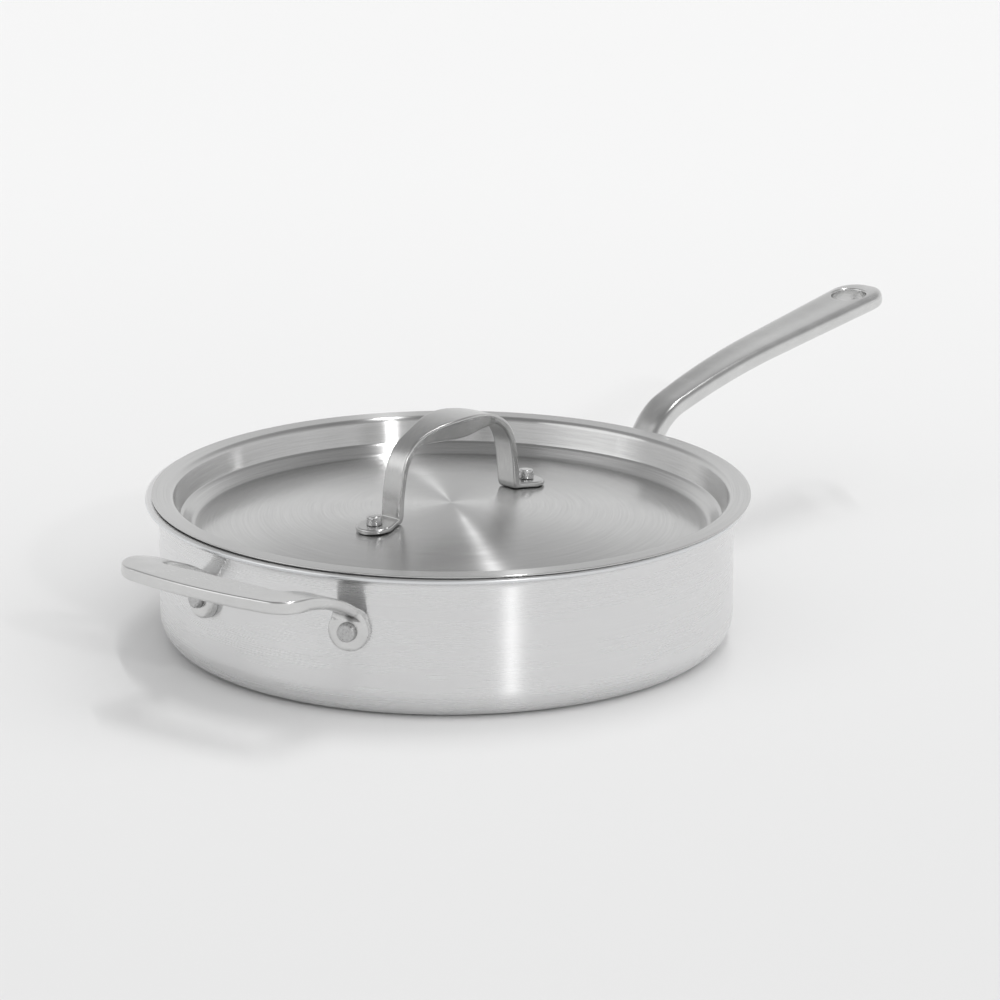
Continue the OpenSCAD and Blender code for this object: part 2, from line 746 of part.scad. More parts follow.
// A ring of the strap: its place, rise, half width, thickness and how far it is thickened below
function strap_ring(x, z, a, half_w, t, extra) =
    placed(
        bar_section(
            half_w,
            t + extra,
            crisp_r,
            crisp_r + (belly_r - crisp_r) * min(1, extra / strap_t),
            half_w - belly_lean * extra
        ),
        [x - extra / 2 * sin(a), 0, z - extra / 2 * cos(a)],
        [0, 1, 0],
        [sin(a), 0, cos(a)]
    );
strap_half = concat(
    [for (s = foot_line) strap_ring(s[0], s[1], s[2], s[3], foot_t, 0)],
    [for (i = [0:len(strap_walk) - 1])
        let (x = -strap_walk[i][0][0], u = bend_share(i))
        strap_ring(
            x, strap_walk[i][0][1], strap_walk[i][1], strap_half_w(x, foot_x - x),
            bend_t(u), heel(u)
        )],
    [for (s = crown_line)
        strap_ring(s[0], s[1], s[2], strap_half_w(s[0], foot_x), strap_t, belly(s[0], s[1], s[2]))]
);
strap_rings = concat(
    strap_half,
    [for (i = [len(strap_half) - 2:-1:0]) [for (p = strap_half[i]) [-p[0], p[1], p[2]]]]
);

module outer_ply() {
    color("#c9cbcc") ply(0, outer_ply_t);
}

module core_ply() {
    color("#a9adb0") ply(outer_ply_t, outer_ply_t + core_ply_t);
}

module inner_ply() {
    color("#d3d5d6") ply(outer_ply_t + core_ply_t, wall_t);
}

module long_handle() {
    color("#b9bbbd") difference() {
        union() {
            skin(handle_rings);
            pad();
        }
        translate([0, 0, -1]) cylinder(r = pan_r, h = pan_h + 2);
        pad_rivet_places() rivet_hole(shank_d);
        hang_hole();
    }
}

module long_handle_rivets() {
    color("#c4c6c8") pad_rivet_places()
        rivet(shank_d, wall_t + pad_t, head_d, head_h, cap_d, cap_h);
}

module helper_handle() {
    color("#b9bbbd") rotate([0, 0, 180]) difference() {
        skin(helper_rings);
        translate([0, 0, -1]) cylinder(r = pan_r, h = pan_h + 2);
        rotate([0, 0, 180]) ear_rivet_places() rivet_hole(shank_d);
    }
}

module helper_handle_rivets() {
    color("#c4c6c8") ear_rivet_places()
        rivet(shank_d, wall_t + ear_t, head_d, head_h, cap_d, cap_h);
}

module lid() {
    color("#c6c8c9") lid_place() difference() {
        rotate_extrude() polygon(concat(lid_top_line, reversed(lid_under_line)));
        lid_rivet_places() rivet_hole(lid_shank_d);
    }
}

module lid_handle() {
    color("#b9bbbd") lid_place() difference() {
        skin(strap_rings);
        lid_rivet_places() rivet_hole(lid_shank_d);
    }
}

module lid_rivets() {
    color("#c4c6c8") lid_place() lid_rivet_places() translate([0, 0, -lid_t])
        rivet(lid_shank_d, lid_t + foot_t + seat_gap, lid_head_d, lid_head_h, lid_cap_d, lid_cap_h);
}

outer_ply();
core_ply();
inner_ply();
long_handle();
long_handle_rivets();
helper_handle();
helper_handle_rivets();
lid();
lid_handle();
lid_rivets();
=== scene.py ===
# Saute pan with lid. Lengths in the shape formulas are millimetres; meshes are made in metres.
# The origin is the centre of the base on the worktop, +Z is up and +X runs along the long handle.
import math

import bmesh
import bpy
import numpy as np
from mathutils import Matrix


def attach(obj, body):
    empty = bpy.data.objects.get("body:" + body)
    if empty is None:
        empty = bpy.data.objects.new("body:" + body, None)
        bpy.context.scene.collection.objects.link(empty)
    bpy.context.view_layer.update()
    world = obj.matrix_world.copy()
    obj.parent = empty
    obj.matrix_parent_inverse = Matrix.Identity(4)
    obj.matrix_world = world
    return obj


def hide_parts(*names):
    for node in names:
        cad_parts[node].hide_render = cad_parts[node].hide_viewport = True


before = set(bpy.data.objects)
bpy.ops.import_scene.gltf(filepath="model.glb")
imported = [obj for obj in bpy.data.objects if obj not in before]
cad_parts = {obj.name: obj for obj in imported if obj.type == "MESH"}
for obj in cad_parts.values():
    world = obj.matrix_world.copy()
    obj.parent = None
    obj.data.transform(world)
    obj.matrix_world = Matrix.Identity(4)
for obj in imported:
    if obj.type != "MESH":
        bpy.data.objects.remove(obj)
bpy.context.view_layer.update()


# ---- Camera ----
# A long lens three metres off and 17 degrees above the worktop. It is turned so that the long handle runs
# back to the right and the helper handle comes forward on the left.
view_azimuth = math.radians(-51.03)
view_elevation = math.radians(17.431)
view_distance = 2.9701
back = np.array([
    math.sin(view_azimuth) * math.cos(view_elevation),
    -math.cos(view_azimuth) * math.cos(view_elevation),
    math.sin(view_elevation),
])
camera_data = bpy.data.cameras.new("camera")
camera_data.lens = 221.16
camera_data.sensor_width = 36.0
camera_data.shift_x = 0.0535
camera_data.shift_y = 0.1333
camera = bpy.data.objects.new("camera", camera_data)
camera.location = back * view_distance
camera.rotation_euler = (math.pi / 2 - view_elevation, 0.0, view_azimuth)
bpy.context.collection.objects.link(camera)
bpy.context.scene.camera = camera


# ---- Pan body: outer sheet, core sheet and inner sheet ----
# A magnetic steel outside, an aluminium core and a stainless cooking surface, roll-bonded into one sheet
# and pressed to a flat base with straight walls. The lip is rolled outwards and its cut edge is ground.
pan_r = 138.0
pan_h = 70.8
corner_r = 14.0
lip_reach = 6.6
lip_bend_r = 4.0
outer_sheet_t = 0.5
core_sheet_t = 1.7
inner_sheet_t = 0.5
wall_t = outer_sheet_t + core_sheet_t + inner_sheet_t
lip_r = pan_r + lip_reach
bend_start_z = pan_h - wall_t - lip_bend_r
mm = 0.001


def closed_mesh(name, points, faces, uv=None):
    """A closed surface from points in millimetres and arrays of quads or triangles: points that meet are
    merged and faces turned outwards. The map, where given, is a pair of distances at each point."""
    mesh = bpy.data.meshes.new(name)
    mesh.from_pydata((points * mm).tolist(), [], [face for block in faces for face in block.tolist()])
    if uv is not None:
        layer = mesh.uv_layers.new(name="along")
        corners = np.concatenate([block.ravel() for block in faces])
        layer.data.foreach_set("uv", (uv[corners] * mm).ravel())
    work = bmesh.new()
    work.from_mesh(mesh)
    bmesh.ops.remove_doubles(work, verts=work.verts, dist=2e-6)
    bmesh.ops.dissolve_degenerate(work, edges=work.edges, dist=1e-7)
    bmesh.ops.recalc_face_normals(work, faces=work.faces)
    work.to_mesh(mesh)
    work.free()
    mesh.shade_smooth()
    piece = bpy.data.objects.new(name, mesh)
    bpy.context.collection.objects.link(piece)
    return piece


def turned_points(outline, steps):
    """An outline of (distance, height) carried round Z in even steps of the angle t:
    x = distance cos t and y = distance sin t."""
    t = np.linspace(0.0, 2.0 * np.pi, steps, endpoint=False)
    x = np.outer(np.cos(t), outline[:, 0])
    y = np.outer(np.sin(t), outline[:, 0])
    z = np.broadcast_to(outline[:, 1], x.shape)
    return np.stack([x, y, z], axis=-1)


def wrapped_quads(rows, columns, close_rows, close_columns):
    """The quads of a grid of rows and columns of points, closed on itself either way where asked."""
    i = np.arange(rows if close_rows else rows - 1)
    j = np.arange(columns if close_columns else columns - 1)
    a, b = np.meshgrid(i, j, indexing="ij")
    a2 = (a + 1) % rows
    b2 = (b + 1) % columns
    corners = [a * columns + b, a * columns + b2, a2 * columns + b2, a2 * columns + b]
    return np.stack(corners, axis=-1).reshape(-1, 4)


def turned_piece(name, outline, steps=360, place=None):
    """A closed outline turned round Z into a solid, and moved by the function place if one is given."""
    grid = turned_points(outline, steps)
    if place is not None:
        grid = place(grid)
    quads = wrapped_quads(steps, len(outline), True, True)
    return closed_mesh(name, grid.reshape(-1, 3), [quads])


def arc_points(x, z, width, height, start, end, count):
    """Points of an ellipse's arc round (x, z): x + width cos a and z + height sin a, in even steps of a."""
    a = np.radians(np.linspace(start, end, count))
    return np.column_stack([x + width * np.cos(a), z + height * np.sin(a)])


def sheet_line(depth):
    """The wall's outline at a depth below the outer face: base, round corner, wall and rolled bend."""
    base = np.linspace(0.0, pan_r - corner_r, 60, endpoint=False)
    turn_r = corner_r - depth
    corner = arc_points(pan_r - corner_r, corner_r, turn_r, turn_r, -90.0, 0.0, 19)
    wall_z = np.linspace(corner_r, bend_start_z, 26)[1:-1]
    wall = np.stack([np.full_like(wall_z, pan_r - depth), wall_z], 1)
    reach = lip_bend_r + depth
    bend = arc_points(pan_r + lip_bend_r, bend_start_z, reach, reach, 180.0, 90.0, 15)
    return np.concatenate([np.stack([base, np.full_like(base, depth)], 1), corner, wall, bend])


def circle_side(r, x):
    """The other short side of a right triangle with long side r: the root of r squared less x squared."""
    return np.sqrt(np.maximum(0.0, r ** 2 - x ** 2))


def sheet_edge(depth_from, depth_to):
    """The half round cut edge between two depths: distance is the edge's circle over the whole sheet."""
    depth = np.linspace(depth_from, depth_to, 13)
    half = circle_side(wall_t / 2, depth - wall_t / 2)
    return np.stack([lip_r - wall_t / 2 + half, bend_start_z + lip_bend_r + depth], 1)


def sheet_outline(depth_from, depth_to):
    """Outer line, cut edge and inner line back to the centre."""
    return np.concatenate([
        sheet_line(depth_from), sheet_edge(depth_from, depth_to), sheet_line(depth_to)[::-1]
    ])


def new_material(name, slot_colour, metallic=1.0):
    """An empty node material with its principled shader, returned with the node tree and the shader."""
    material = bpy.data.materials.new(name)
    material.use_nodes = True
    tree = material.node_tree
    shader = tree.nodes["Principled BSDF"]
    shader.inputs["Base Color"].default_value = (*slot_colour, 1.0)
    shader.inputs["Metallic"].default_value = metallic
    return material, tree, shader


def new_node(tree, kind, inputs=None, **settings):
    """One shader node: its settings first, then its inputs, each a value or another node's output."""
    node = tree.nodes.new("ShaderNode" + kind)
    for word, choice in settings.items():
        setattr(node, word, choice)
    for place, value in (inputs or {}).items():
        if isinstance(value, bpy.types.NodeSocket):
            tree.links.new(value, node.inputs[place])
        else:
            node.inputs[place].default_value = value
    return node


def math_node(tree, operation, a, b):
    """One Math node whose inputs are numbers or sockets."""
    return new_node(tree, "Math", {0: a, 1: b}, operation=operation).outputs[0]


def ring_noise(tree, along, across, detail, seed, rough):
    """Noise drawn out round Z: it is read at the direction from the axis times along, the distance from the
    axis times across, and the height times across."""
    place = new_node(tree, "TexCoord")
    split = new_node(tree, "SeparateXYZ", {0: place.outputs["Object"]})
    flat = new_node(tree, "CombineXYZ", {0: split.outputs[0], 1: split.outputs[1]})
    length = new_node(tree, "VectorMath", {0: flat.outputs[0]}, operation="LENGTH")
    direction = new_node(tree, "VectorMath", {0: flat.outputs[0]}, operation="NORMALIZE")
    turn = new_node(tree, "SeparateXYZ", {0: direction.outputs[0]})
    joined = new_node(tree, "CombineXYZ", {
        0: math_node(tree, "MULTIPLY", turn.outputs[0], along),
        1: math_node(tree, "MULTIPLY", turn.outputs[1], along),
        2: math_node(tree, "MULTIPLY", length.outputs["Value"], across),
    })
    height = math_node(tree, "MULTIPLY", split.outputs[2], across)
    return new_node(tree, "TexNoise", {
        "Vector": joined.outputs[0], "W": math_node(tree, "ADD", height, seed),
        "Scale": 1.0, "Detail": detail, "Roughness": rough,
    }, noise_dimensions="4D").outputs["Fac"]


def spread(tree, value, low, high):
    """Map 0.3..0.7 of a noise onto low..high."""
    return new_node(tree, "MapRange", {
        "Value": value, "From Min": 0.3, "From Max": 0.7, "To Min": low, "To Max": high,
    }).outputs[0]


def blended(tree, fine, broad, broad_share):
    """Two noises added: fine times (1 - share) and broad times the share."""
    fine_part = math_node(tree, "MULTIPLY", fine, 1.0 - broad_share)
    return math_node(tree, "ADD", fine_part, math_node(tree, "MULTIPLY", broad, broad_share))


def tint(tree, shader, dark, pale, amount):
    """Base colour between two tones of the same surface, by an amount from 0 to 1."""
    mix = new_node(tree, "Mix", {"A": (*dark, 1.0), "B": (*pale, 1.0), "Factor": amount}, data_type="RGBA")
    tree.links.new(mix.outputs["Result"], shader.inputs["Base Color"])


def tone_and_gloss(tree, shader, value, dark, pale, roughness, roughness_spread):
    """One noise sets the tone between dark and pale and the roughness to either side of its middle."""
    tint(tree, shader, dark, pale, spread(tree, value, 0.0, 1.0))
    gloss = spread(tree, value, roughness - roughness_spread, roughness + roughness_spread)
    tree.links.new(gloss, shader.inputs["Roughness"])


def bump(tree, shader, value, distance):
    """A bump of the given depth in metres."""
    node = new_node(tree, "Bump", {"Strength": 1.0, "Distance": distance, "Height": value})
    tree.links.new(node.outputs[0], shader.inputs["Normal"])


def circle_brushed(
    name, dark, pale, roughness, roughness_spread, brushed, line_depth, line_scale, cloud_share, seed,
):
    """Metal brushed in circles round Z: fine lines and broad clouds set tone and gloss, and the lines a very
    shallow bump; brushed is how far a highlight is drawn out across the lines."""
    material, tree, shader = new_material(name, pale)
    lines = ring_noise(tree, along=2.2, across=line_scale, detail=3.0, seed=seed, rough=0.7)
    clouds = ring_noise(tree, along=1.4, across=45.0, detail=3.0, seed=seed + 7.0, rough=0.6)
    mixed = blended(tree, lines, clouds, cloud_share)
    tone_and_gloss(tree, shader, mixed, dark, pale, roughness, roughness_spread)
    shader.inputs["Anisotropic"].default_value = brushed
    shader.inputs["Anisotropic Rotation"].default_value = 0.25
    if line_depth > 0.0:
        bump(tree, shader, lines, line_depth)
    return material


wall_steel = circle_brushed(
    "brushed_wall", (0.762, 0.762, 0.764), (0.81, 0.81, 0.812), roughness=0.275, roughness_spread=0.015,
    brushed=1.0, line_depth=0.0, line_scale=1700.0, cloud_share=0.62, seed=1.0,
)
core_metal = circle_brushed(
    "ground_core_edge", (0.70, 0.71, 0.72), (0.80, 0.81, 0.82), roughness=0.34, roughness_spread=0.05,
    brushed=0.4, line_depth=0.0, line_scale=3000.0, cloud_share=0.3, seed=2.0,
)
cooking_steel = circle_brushed(
    "cooking_surface", (0.72, 0.72, 0.72), (0.83, 0.83, 0.83), roughness=0.3, roughness_spread=0.05,
    brushed=0.7, line_depth=2e-6, line_scale=2600.0, cloud_share=0.4, seed=3.0,
)

outer_sheet = turned_piece("outer_sheet", sheet_outline(0.0, outer_sheet_t))
outer_sheet.data.materials.append(wall_steel)
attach(outer_sheet, "pan")
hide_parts("outer_ply")

core_sheet = turned_piece("core_sheet", sheet_outline(outer_sheet_t, outer_sheet_t + core_sheet_t))
core_sheet.data.materials.append(core_metal)
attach(core_sheet, "pan")
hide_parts("core_ply")

inner_sheet = turned_piece("inner_sheet", sheet_outline(outer_sheet_t + core_sheet_t, wall_t))
inner_sheet.data.materials.append(cooking_steel)
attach(inner_sheet, "pan")
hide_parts("inner_ply")


# ---- Long handle ----
# One cast steel bar riveted to the wall: a pad for three rivets, a narrow neck rising off the wall, and a
# grip that widens to a round end with a hanging hole and a shallow dish in its top. It is satin polished.
handle_reach = 350.93
neck_drop = 30.2
neck_z = pan_h - neck_drop
neck_inset = 1.0
neck_angle = 47.0
neck_len = 37.0
neck_bend_r = 33.0
grip_start_angle = 14.5
grip_angle = 6.0
grip_curve_len = 78.0
neck_w = 17.4
grip_w = 29.4
grip_t = 9.8
dish_d = 0.7
dish_run_in = 14.0
root_w = 24.0
root_flare_len = 16.0
pad_t = 4.6
pad_r = 8.0
pad_edge_r = 1.4
pad_fillet = 5.5
pad_rivet_gap = 30.0
pad_upper_z = 47.0
pad_lower_z = 25.0
hang_inset = 18.93
hang_r = 9.0
hang_edge_r = 0.9
top_power = 3.571
low_power = 2.778
quarter = 24
# Shares: the dish's part of the half width, the thickness left at the tip, a section's height to its width
dish_share = 0.75
tip_share = 0.35
flatness = 0.45


def centre_line(start, heading, stretches, step):
    """A line in the X-Z plane: each stretch (length, turn in degrees) is cut into even steps, and the points
    add up the steps, each taken along its middle heading."""
    turns, lengths = [], []
    for length, turn in stretches:
        count = max(1, round(length / step))
        lengths.append(np.full(count, length / count))
        turns.append(np.full(count, turn / count))
    lengths, turns = np.concatenate(lengths), np.concatenate(turns)
    headings = heading + np.concatenate([[0.0], np.cumsum(turns)])
    middle = np.radians(headings[:-1] + turns / 2)
    x = start[0] + np.concatenate([[0.0], np.cumsum(lengths * np.cos(middle))])
    z = start[1] + np.concatenate([[0.0], np.cumsum(lengths * np.sin(middle))])
    return np.stack([x, z, headings], 1)


bend_len = neck_bend_r * math.radians(neck_angle - grip_start_angle)
neck_line = centre_line(
    (pan_r - neck_inset, neck_z), neck_angle,
    [
        (neck_len, 0.0), (bend_len, grip_start_angle - neck_angle),
        (grip_curve_len, grip_angle - grip_start_angle),
    ],
    step=1.5,
)
tip_r = grip_w / 2
grip_cos, grip_sin = math.cos(math.radians(grip_angle)), math.sin(math.radians(grip_angle))
curve_end = neck_line[-1]
straight_len = (handle_reach - tip_r - curve_end[0]) / grip_cos
waist_x = pan_r - neck_inset + neck_len * math.cos(math.radians(neck_angle))
tip_x = curve_end[0] + straight_len * grip_cos
hole_run = (handle_reach - hang_inset - curve_end[0]) / grip_cos


def grip_half_width(x):
    """Half width: it narrows from the root by a square law, is least at the waist and grows evenly from
    there to the tip."""
    root = (root_w - neck_w) / 2 * np.maximum(0.0, 1.0 - (x - pan_r) / root_flare_len) ** 2
    grip = (grip_w - neck_w) / 2 * (x - waist_x) / (tip_x - waist_x)
    return neck_w / 2 + np.where(x < waist_x, root, grip)


def top_height(y, half_w, t, dish):
    """Top face: a superellipse of power 3.6 less a parabolic dish."""
    u = np.clip(np.abs(y) / half_w, 0.0, 1.0)
    hollow = dish * np.maximum(0.0, 1.0 - (u / dish_share) ** 2)
    return t / 2 * (1.0 - u ** top_power) ** (1 / top_power) - hollow


def low_height(y, half_w, t):
    """Underside: a superellipse of power 2.8, fuller than the top."""
    u = np.clip(np.abs(y) / half_w, 0.0, 1.0)
    return -t / 2 * (1.0 - u ** low_power) ** (1 / low_power)


def even_quadrant(power):
    """Shares of the half width, from 0 to 1, at even distances along a quadrant of a superellipse."""
    a = np.linspace(0.0, np.pi / 2, 4001)
    u = np.sin(a) ** (2.0 / power)
    v = np.cos(a) ** (2.0 / power) * flatness
    run = np.concatenate([[0.0], np.cumsum(np.hypot(np.diff(u), np.diff(v)))])
    return np.interp(np.linspace(0.0, run[-1], quarter + 1), run, u)


top_share = even_quadrant(top_power)
low_share = even_quadrant(low_power)


def grip_rings(x, z, heading, half_w, t, dish):
    """Whole sections along the bar: from one side over the top to the other side and back underneath."""
    half_w, t, dish = half_w[:, None], t[:, None], dish[:, None]
    top_y = np.concatenate([-top_share[::-1], top_share[1:]]) * half_w
    low_y = np.concatenate([low_share[::-1], -low_share[1:]])[1:-1] * half_w
    y = np.concatenate([top_y, low_y], axis=1)
    h = np.concatenate([top_height(top_y, half_w, t, dish), low_height(low_y, half_w, t)], axis=1)
    a = np.radians(heading)[:, None]
    return np.stack([x[:, None] - h * np.sin(a), y, z[:, None] + h * np.cos(a)], axis=-1)


# From the pad to the hanging hole
edge_ring = hang_r + hang_edge_r
straight_run = np.linspace(0.0, hole_run - edge_ring, 60)[1:]
body_x = np.concatenate([neck_line[:, 0], curve_end[0] + straight_run * grip_cos])
body_z = np.concatenate([neck_line[:, 1], curve_end[1] + straight_run * grip_sin])
body_a = np.concatenate([neck_line[:, 2], np.full(len(straight_run), grip_angle)])
past_fillet = body_x > pan_r + pad_t + pad_fillet
body_x, body_z, body_a = body_x[past_fillet], body_z[past_fillet], body_a[past_fillet]
run_in = np.clip((body_x - waist_x) / dish_run_in, 0.0, 1.0)
body_dish = dish_d * run_in * run_in * (3.0 - 2.0 * run_in)
body = grip_rings(body_x, body_z, body_a, grip_half_width(body_x), np.full(len(body_x), grip_t), body_dish)


def tip_shape(run):
    """Half width, thickness and dish near the round tip: a circle in plan, and a bar that thins towards its
    end by the root of the circle's share."""
    round_off = np.cos(np.arcsin(np.clip((run - straight_len) / tip_r, 0.0, 1.0)))
    x = curve_end[0] + run * grip_cos
    half_w = np.maximum(grip_half_width(np.minimum(x, tip_x)) * round_off, 1e-4)
    return half_w, grip_t * (tip_share + (1.0 - tip_share) * np.sqrt(round_off)), dish_d * round_off


# Round the hole the bar is split into two branches, one on each side, that share the hole's wall at both ends
phi = np.linspace(0.0, np.pi, 49)[:, None]
split_run = hole_run - edge_ring * np.cos(phi)
slit = edge_ring * np.sin(phi)
split_w, split_t, split_dish = tip_shape(split_run)
branch_top_y = slit + (split_w - slit) * top_share[::-1]
branch_low_y = slit + (split_w - slit) * low_share
top_edge_h = top_height(branch_top_y[:, -1:], split_w, split_t, split_dish)
low_edge_h = low_height(branch_low_y[:, :1], split_w, split_t)
round_a = np.radians(np.linspace(90.0, 0.0, 9))[1:]
rim_rho = hang_r + hang_edge_r * (1.0 - np.cos(round_a))
rim_drop = hang_edge_r * (1.0 - np.sin(round_a))
wall_top, wall_low = top_edge_h - hang_edge_r, low_edge_h + hang_edge_r
wall_steps = np.linspace(0.0, 1.0, 7)[1:-1]
wall_h = np.concatenate([
    top_edge_h - rim_drop, wall_top + (wall_low - wall_top) * wall_steps, (low_edge_h + rim_drop)[:, ::-1],
], axis=1)
wall_rho = np.concatenate([rim_rho, np.full(len(wall_steps), hang_r), rim_rho[::-1]])
branch_y = np.concatenate([branch_low_y, branch_top_y[:, 1:], wall_rho * np.sin(phi)], axis=1)
branch_run = np.concatenate([
    np.repeat(split_run, 2 * quarter + 1, axis=1), hole_run - wall_rho * np.cos(phi),
], axis=1)
branch_h = np.concatenate([
    low_height(branch_low_y, split_w, split_t),
    top_height(branch_top_y[:, 1:], split_w, split_t, split_dish), wall_h,
], axis=1)


def grip_place(run, y, h):
    """A point of the straight grip from its run, its side place and its height over the centre line."""
    x = curve_end[0] + run * grip_cos - h * grip_sin
    return np.stack([x, y, curve_end[1] + run * grip_sin + h * grip_cos], axis=-1)


near_branch = grip_place(branch_run, branch_y, branch_h)
far_branch = grip_place(branch_run, -branch_y, branch_h)
tip_start = hole_run + edge_ring
tip_a = np.linspace(np.arcsin(np.clip((tip_start - straight_len) / tip_r, 0, 1)), np.pi / 2, 30)
tip_run = straight_len + tip_r * np.sin(tip_a)
tip_run[0] = tip_start
tip = grip_rings(
    curve_end[0] + tip_run * grip_cos, curve_end[1] + tip_run * grip_sin,
    np.full(len(tip_run), grip_angle), *tip_shape(tip_run),
)

# The pad: a rounded triangle round three rivets, bent to the wall, with a soft edge and a fillet to the neck
ring_dir = np.pi - np.linspace(0.0, 2.0 * np.pi, 4 * quarter, endpoint=False)
pad_half = pad_rivet_gap / 2
root_z = neck_z + (pad_t + neck_inset) * math.tan(math.radians(neck_angle))
root_half_w = 9.9
root_up = 8.2
root_down = 10.8
root_pull = 5.0
neck_pull = 9.0
wall_clear = 0.02


def pad_reach(turn, grow):
    """Distance from the neck's root to the pad's outline in each direction. The outline is three discs and
    the straight sides between them, and the distance is the smallest of those to its tangents."""
    facing = np.linspace(0.0, 2.0 * np.pi, 1441)[None, :]
    upper, lower = pad_upper_z - root_z, pad_lower_z - root_z
    centres = np.array([[pad_half, upper], [-pad_half, upper], [0.0, lower]])
    spans = centres[:, 0:1] * np.cos(facing) + centres[:, 1:2] * np.sin(facing)
    support = np.max(spans, axis=0) + pad_r + grow
    lean = np.cos(facing - turn[:, None])
    return np.min(np.where(lean > 0.02, support[None, :] / np.maximum(lean, 0.02), 1e9), axis=1)


def on_cylinder(radius, y, z):
    """A point at a distance from the pan's axis with the given side place and height."""
    return np.stack([circle_side(radius, y), y, z], axis=-1)


def pad_ring(radius, reach):
    """A ring round the neck's root at a distance from the pan's axis, with its reach in each direction."""
    return on_cylinder(radius, reach * np.cos(ring_dir), root_z + reach * np.sin(ring_dir))


pad_outline = pad_reach(ring_dir, 0.0)
pad_rings = [pad_ring(pan_r + wall_clear, pad_outline * share) for share in np.linspace(0.1, 1.0, 7)]
for edge_turn in np.radians(np.linspace(0.0, 90.0, 8)):
    edge_reach = pad_reach(ring_dir, -pad_edge_r * (1.0 - math.cos(edge_turn)))
    pad_rings.append(pad_ring(pan_r + pad_t - pad_edge_r * (1.0 - math.sin(edge_turn)), edge_reach))
face_ring = pad_rings[-1]
root_y = root_half_w * np.cos(ring_dir)
root_h = np.where(np.sin(ring_dir) > 0, root_up, root_down) * np.sin(ring_dir)
root_ring = on_cylinder(pan_r + pad_t, root_y, root_z + root_h)
for share in (0.25, 0.5, 0.75, 0.92):
    between = face_ring * (1 - share) + root_ring * share
    pad_rings.append(on_cylinder(pan_r + pad_t, between[:, 1], between[:, 2]))
pad_rings.append(root_ring)
# A cubic leaves the root's ring inwards over the pad's face and meets the neck's first ring along the neck
inward = np.stack([np.zeros_like(root_y), -np.cos(ring_dir), -np.sin(ring_dir)], axis=-1) * root_pull
rise = np.array([math.cos(math.radians(neck_angle)), 0.0, math.sin(math.radians(neck_angle))]) * neck_pull
part = np.linspace(0.0, 1.0, 12)[1:-1, None, None]
fillet_rings = (
    (2 * part ** 3 - 3 * part ** 2 + 1) * root_ring + (part ** 3 - 2 * part ** 2 + part) * inward
    + (3 * part ** 2 - 2 * part ** 3) * body[0] + (part ** 3 - part ** 2) * rise
)
whole_body = np.concatenate([np.stack(pad_rings), fillet_rings, body])


def ring_distances(rings):
    """Run round each ring and along the rings, in millimetres, as a map for patterns that follow the bar."""
    around = np.linalg.norm(np.roll(rings, -1, axis=1) - rings, axis=2).cumsum(axis=1)
    along = np.linalg.norm(np.diff(rings.mean(axis=1), axis=0), axis=1).cumsum()
    along = np.concatenate([[0.0], along])
    return np.stack([around, np.broadcast_to(along[:, None], around.shape)], axis=-1)


def joined_rings(name, groups, capped=()):
    """Several runs of closed rings made into one closed piece; an end named in capped is closed by a fan of
    triangles to the middle of its ring. The map holds the run round the bar and the run along it."""
    points, faces, maps, start = [], [], [], 0
    for number, rings in enumerate(groups):
        rows, columns = rings.shape[:2]
        faces.append(wrapped_quads(rows, columns, False, True) + start)
        points.append(rings.reshape(-1, 3))
        maps.append(ring_distances(rings).reshape(-1, 2))
        first = start
        start += rows * columns
        for end in (0, -1):
            if (number, end) in capped:
                row_start = first + (0 if end == 0 else (rows - 1) * columns)
                index = np.arange(columns)
                following = (index + 1) % columns
                fan = np.stack([row_start + index, row_start + following, np.full(columns, start)], 1)
                points.append(rings[end].mean(axis=0)[None, :])
                maps.append(np.zeros((1, 2)))
                faces.append(fan)
                start += 1
    return closed_mesh(name, np.concatenate(points), faces, np.concatenate(maps))


def even_noise(tree, scale, detail):
    """Noise of the same size in every direction."""
    place = new_node(tree, "TexCoord")
    inputs = {"Vector": place.outputs["Object"], "Scale": scale, "Detail": detail}
    return new_node(tree, "TexNoise", inputs).outputs["Fac"]


def satin_casting(name, dark, pale, roughness, seed):
    """Satin polished cast steel: fine grain drawn out along the bar by its map, with soft clouds in tone
    and gloss."""
    material, tree, shader = new_material(name, pale)
    place = new_node(tree, "UVMap", uv_map="along")
    stretch = new_node(tree, "Mapping", {
        "Vector": place.outputs[0], "Location": (seed, seed, 0.0), "Scale": (2600.0, 190.0, 1.0),
    })
    fine = {"Vector": stretch.outputs[0], "Scale": 1.0, "Detail": 3.0}
    grain = new_node(tree, "TexNoise", fine).outputs["Fac"]
    mixed = blended(tree, grain, even_noise(tree, scale=85.0, detail=3.0), 0.5)
    tone_and_gloss(tree, shader, mixed, dark, pale, roughness, 0.035)
    bump(tree, shader, grain, 1.5e-6)
    return material


handle_steel = satin_casting(
    "satin_casting", (0.62, 0.62, 0.617), (0.73, 0.73, 0.726), roughness=0.25, seed=3.0,
)

long_handle = joined_rings("long_bar_handle", [whole_body, near_branch, far_branch, tip], capped=((0, 0),))
long_handle.data.materials.append(handle_steel)
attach(long_handle, "pan")
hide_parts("long_handle")


# ---- Rivets of the two pan handles ----
# Solid steel rivets driven from inside the pan: a low polished cap on the cooking surface, a shank through
# the wall and the pad or ear, and a flat-topped formed head outside.
shank_r = 2.8
head_r = 4.7
head_h = 3.0
head_edge_r = 0.9
cap_r = 5.5
cap_h = 2.4
seat_gap = 0.15
inside_r = pan_r - wall_t
ear_t = 4.6
ear_rivet_z = 43.0
ear_rivet_gap = 87.0
ear_turn = 2.2
pad_angle = math.degrees(math.asin(pad_rivet_gap / 2 / pan_r))
ear_angle = math.degrees(math.asin(ear_rivet_gap / 2 / (pan_r + ear_t / 2)))


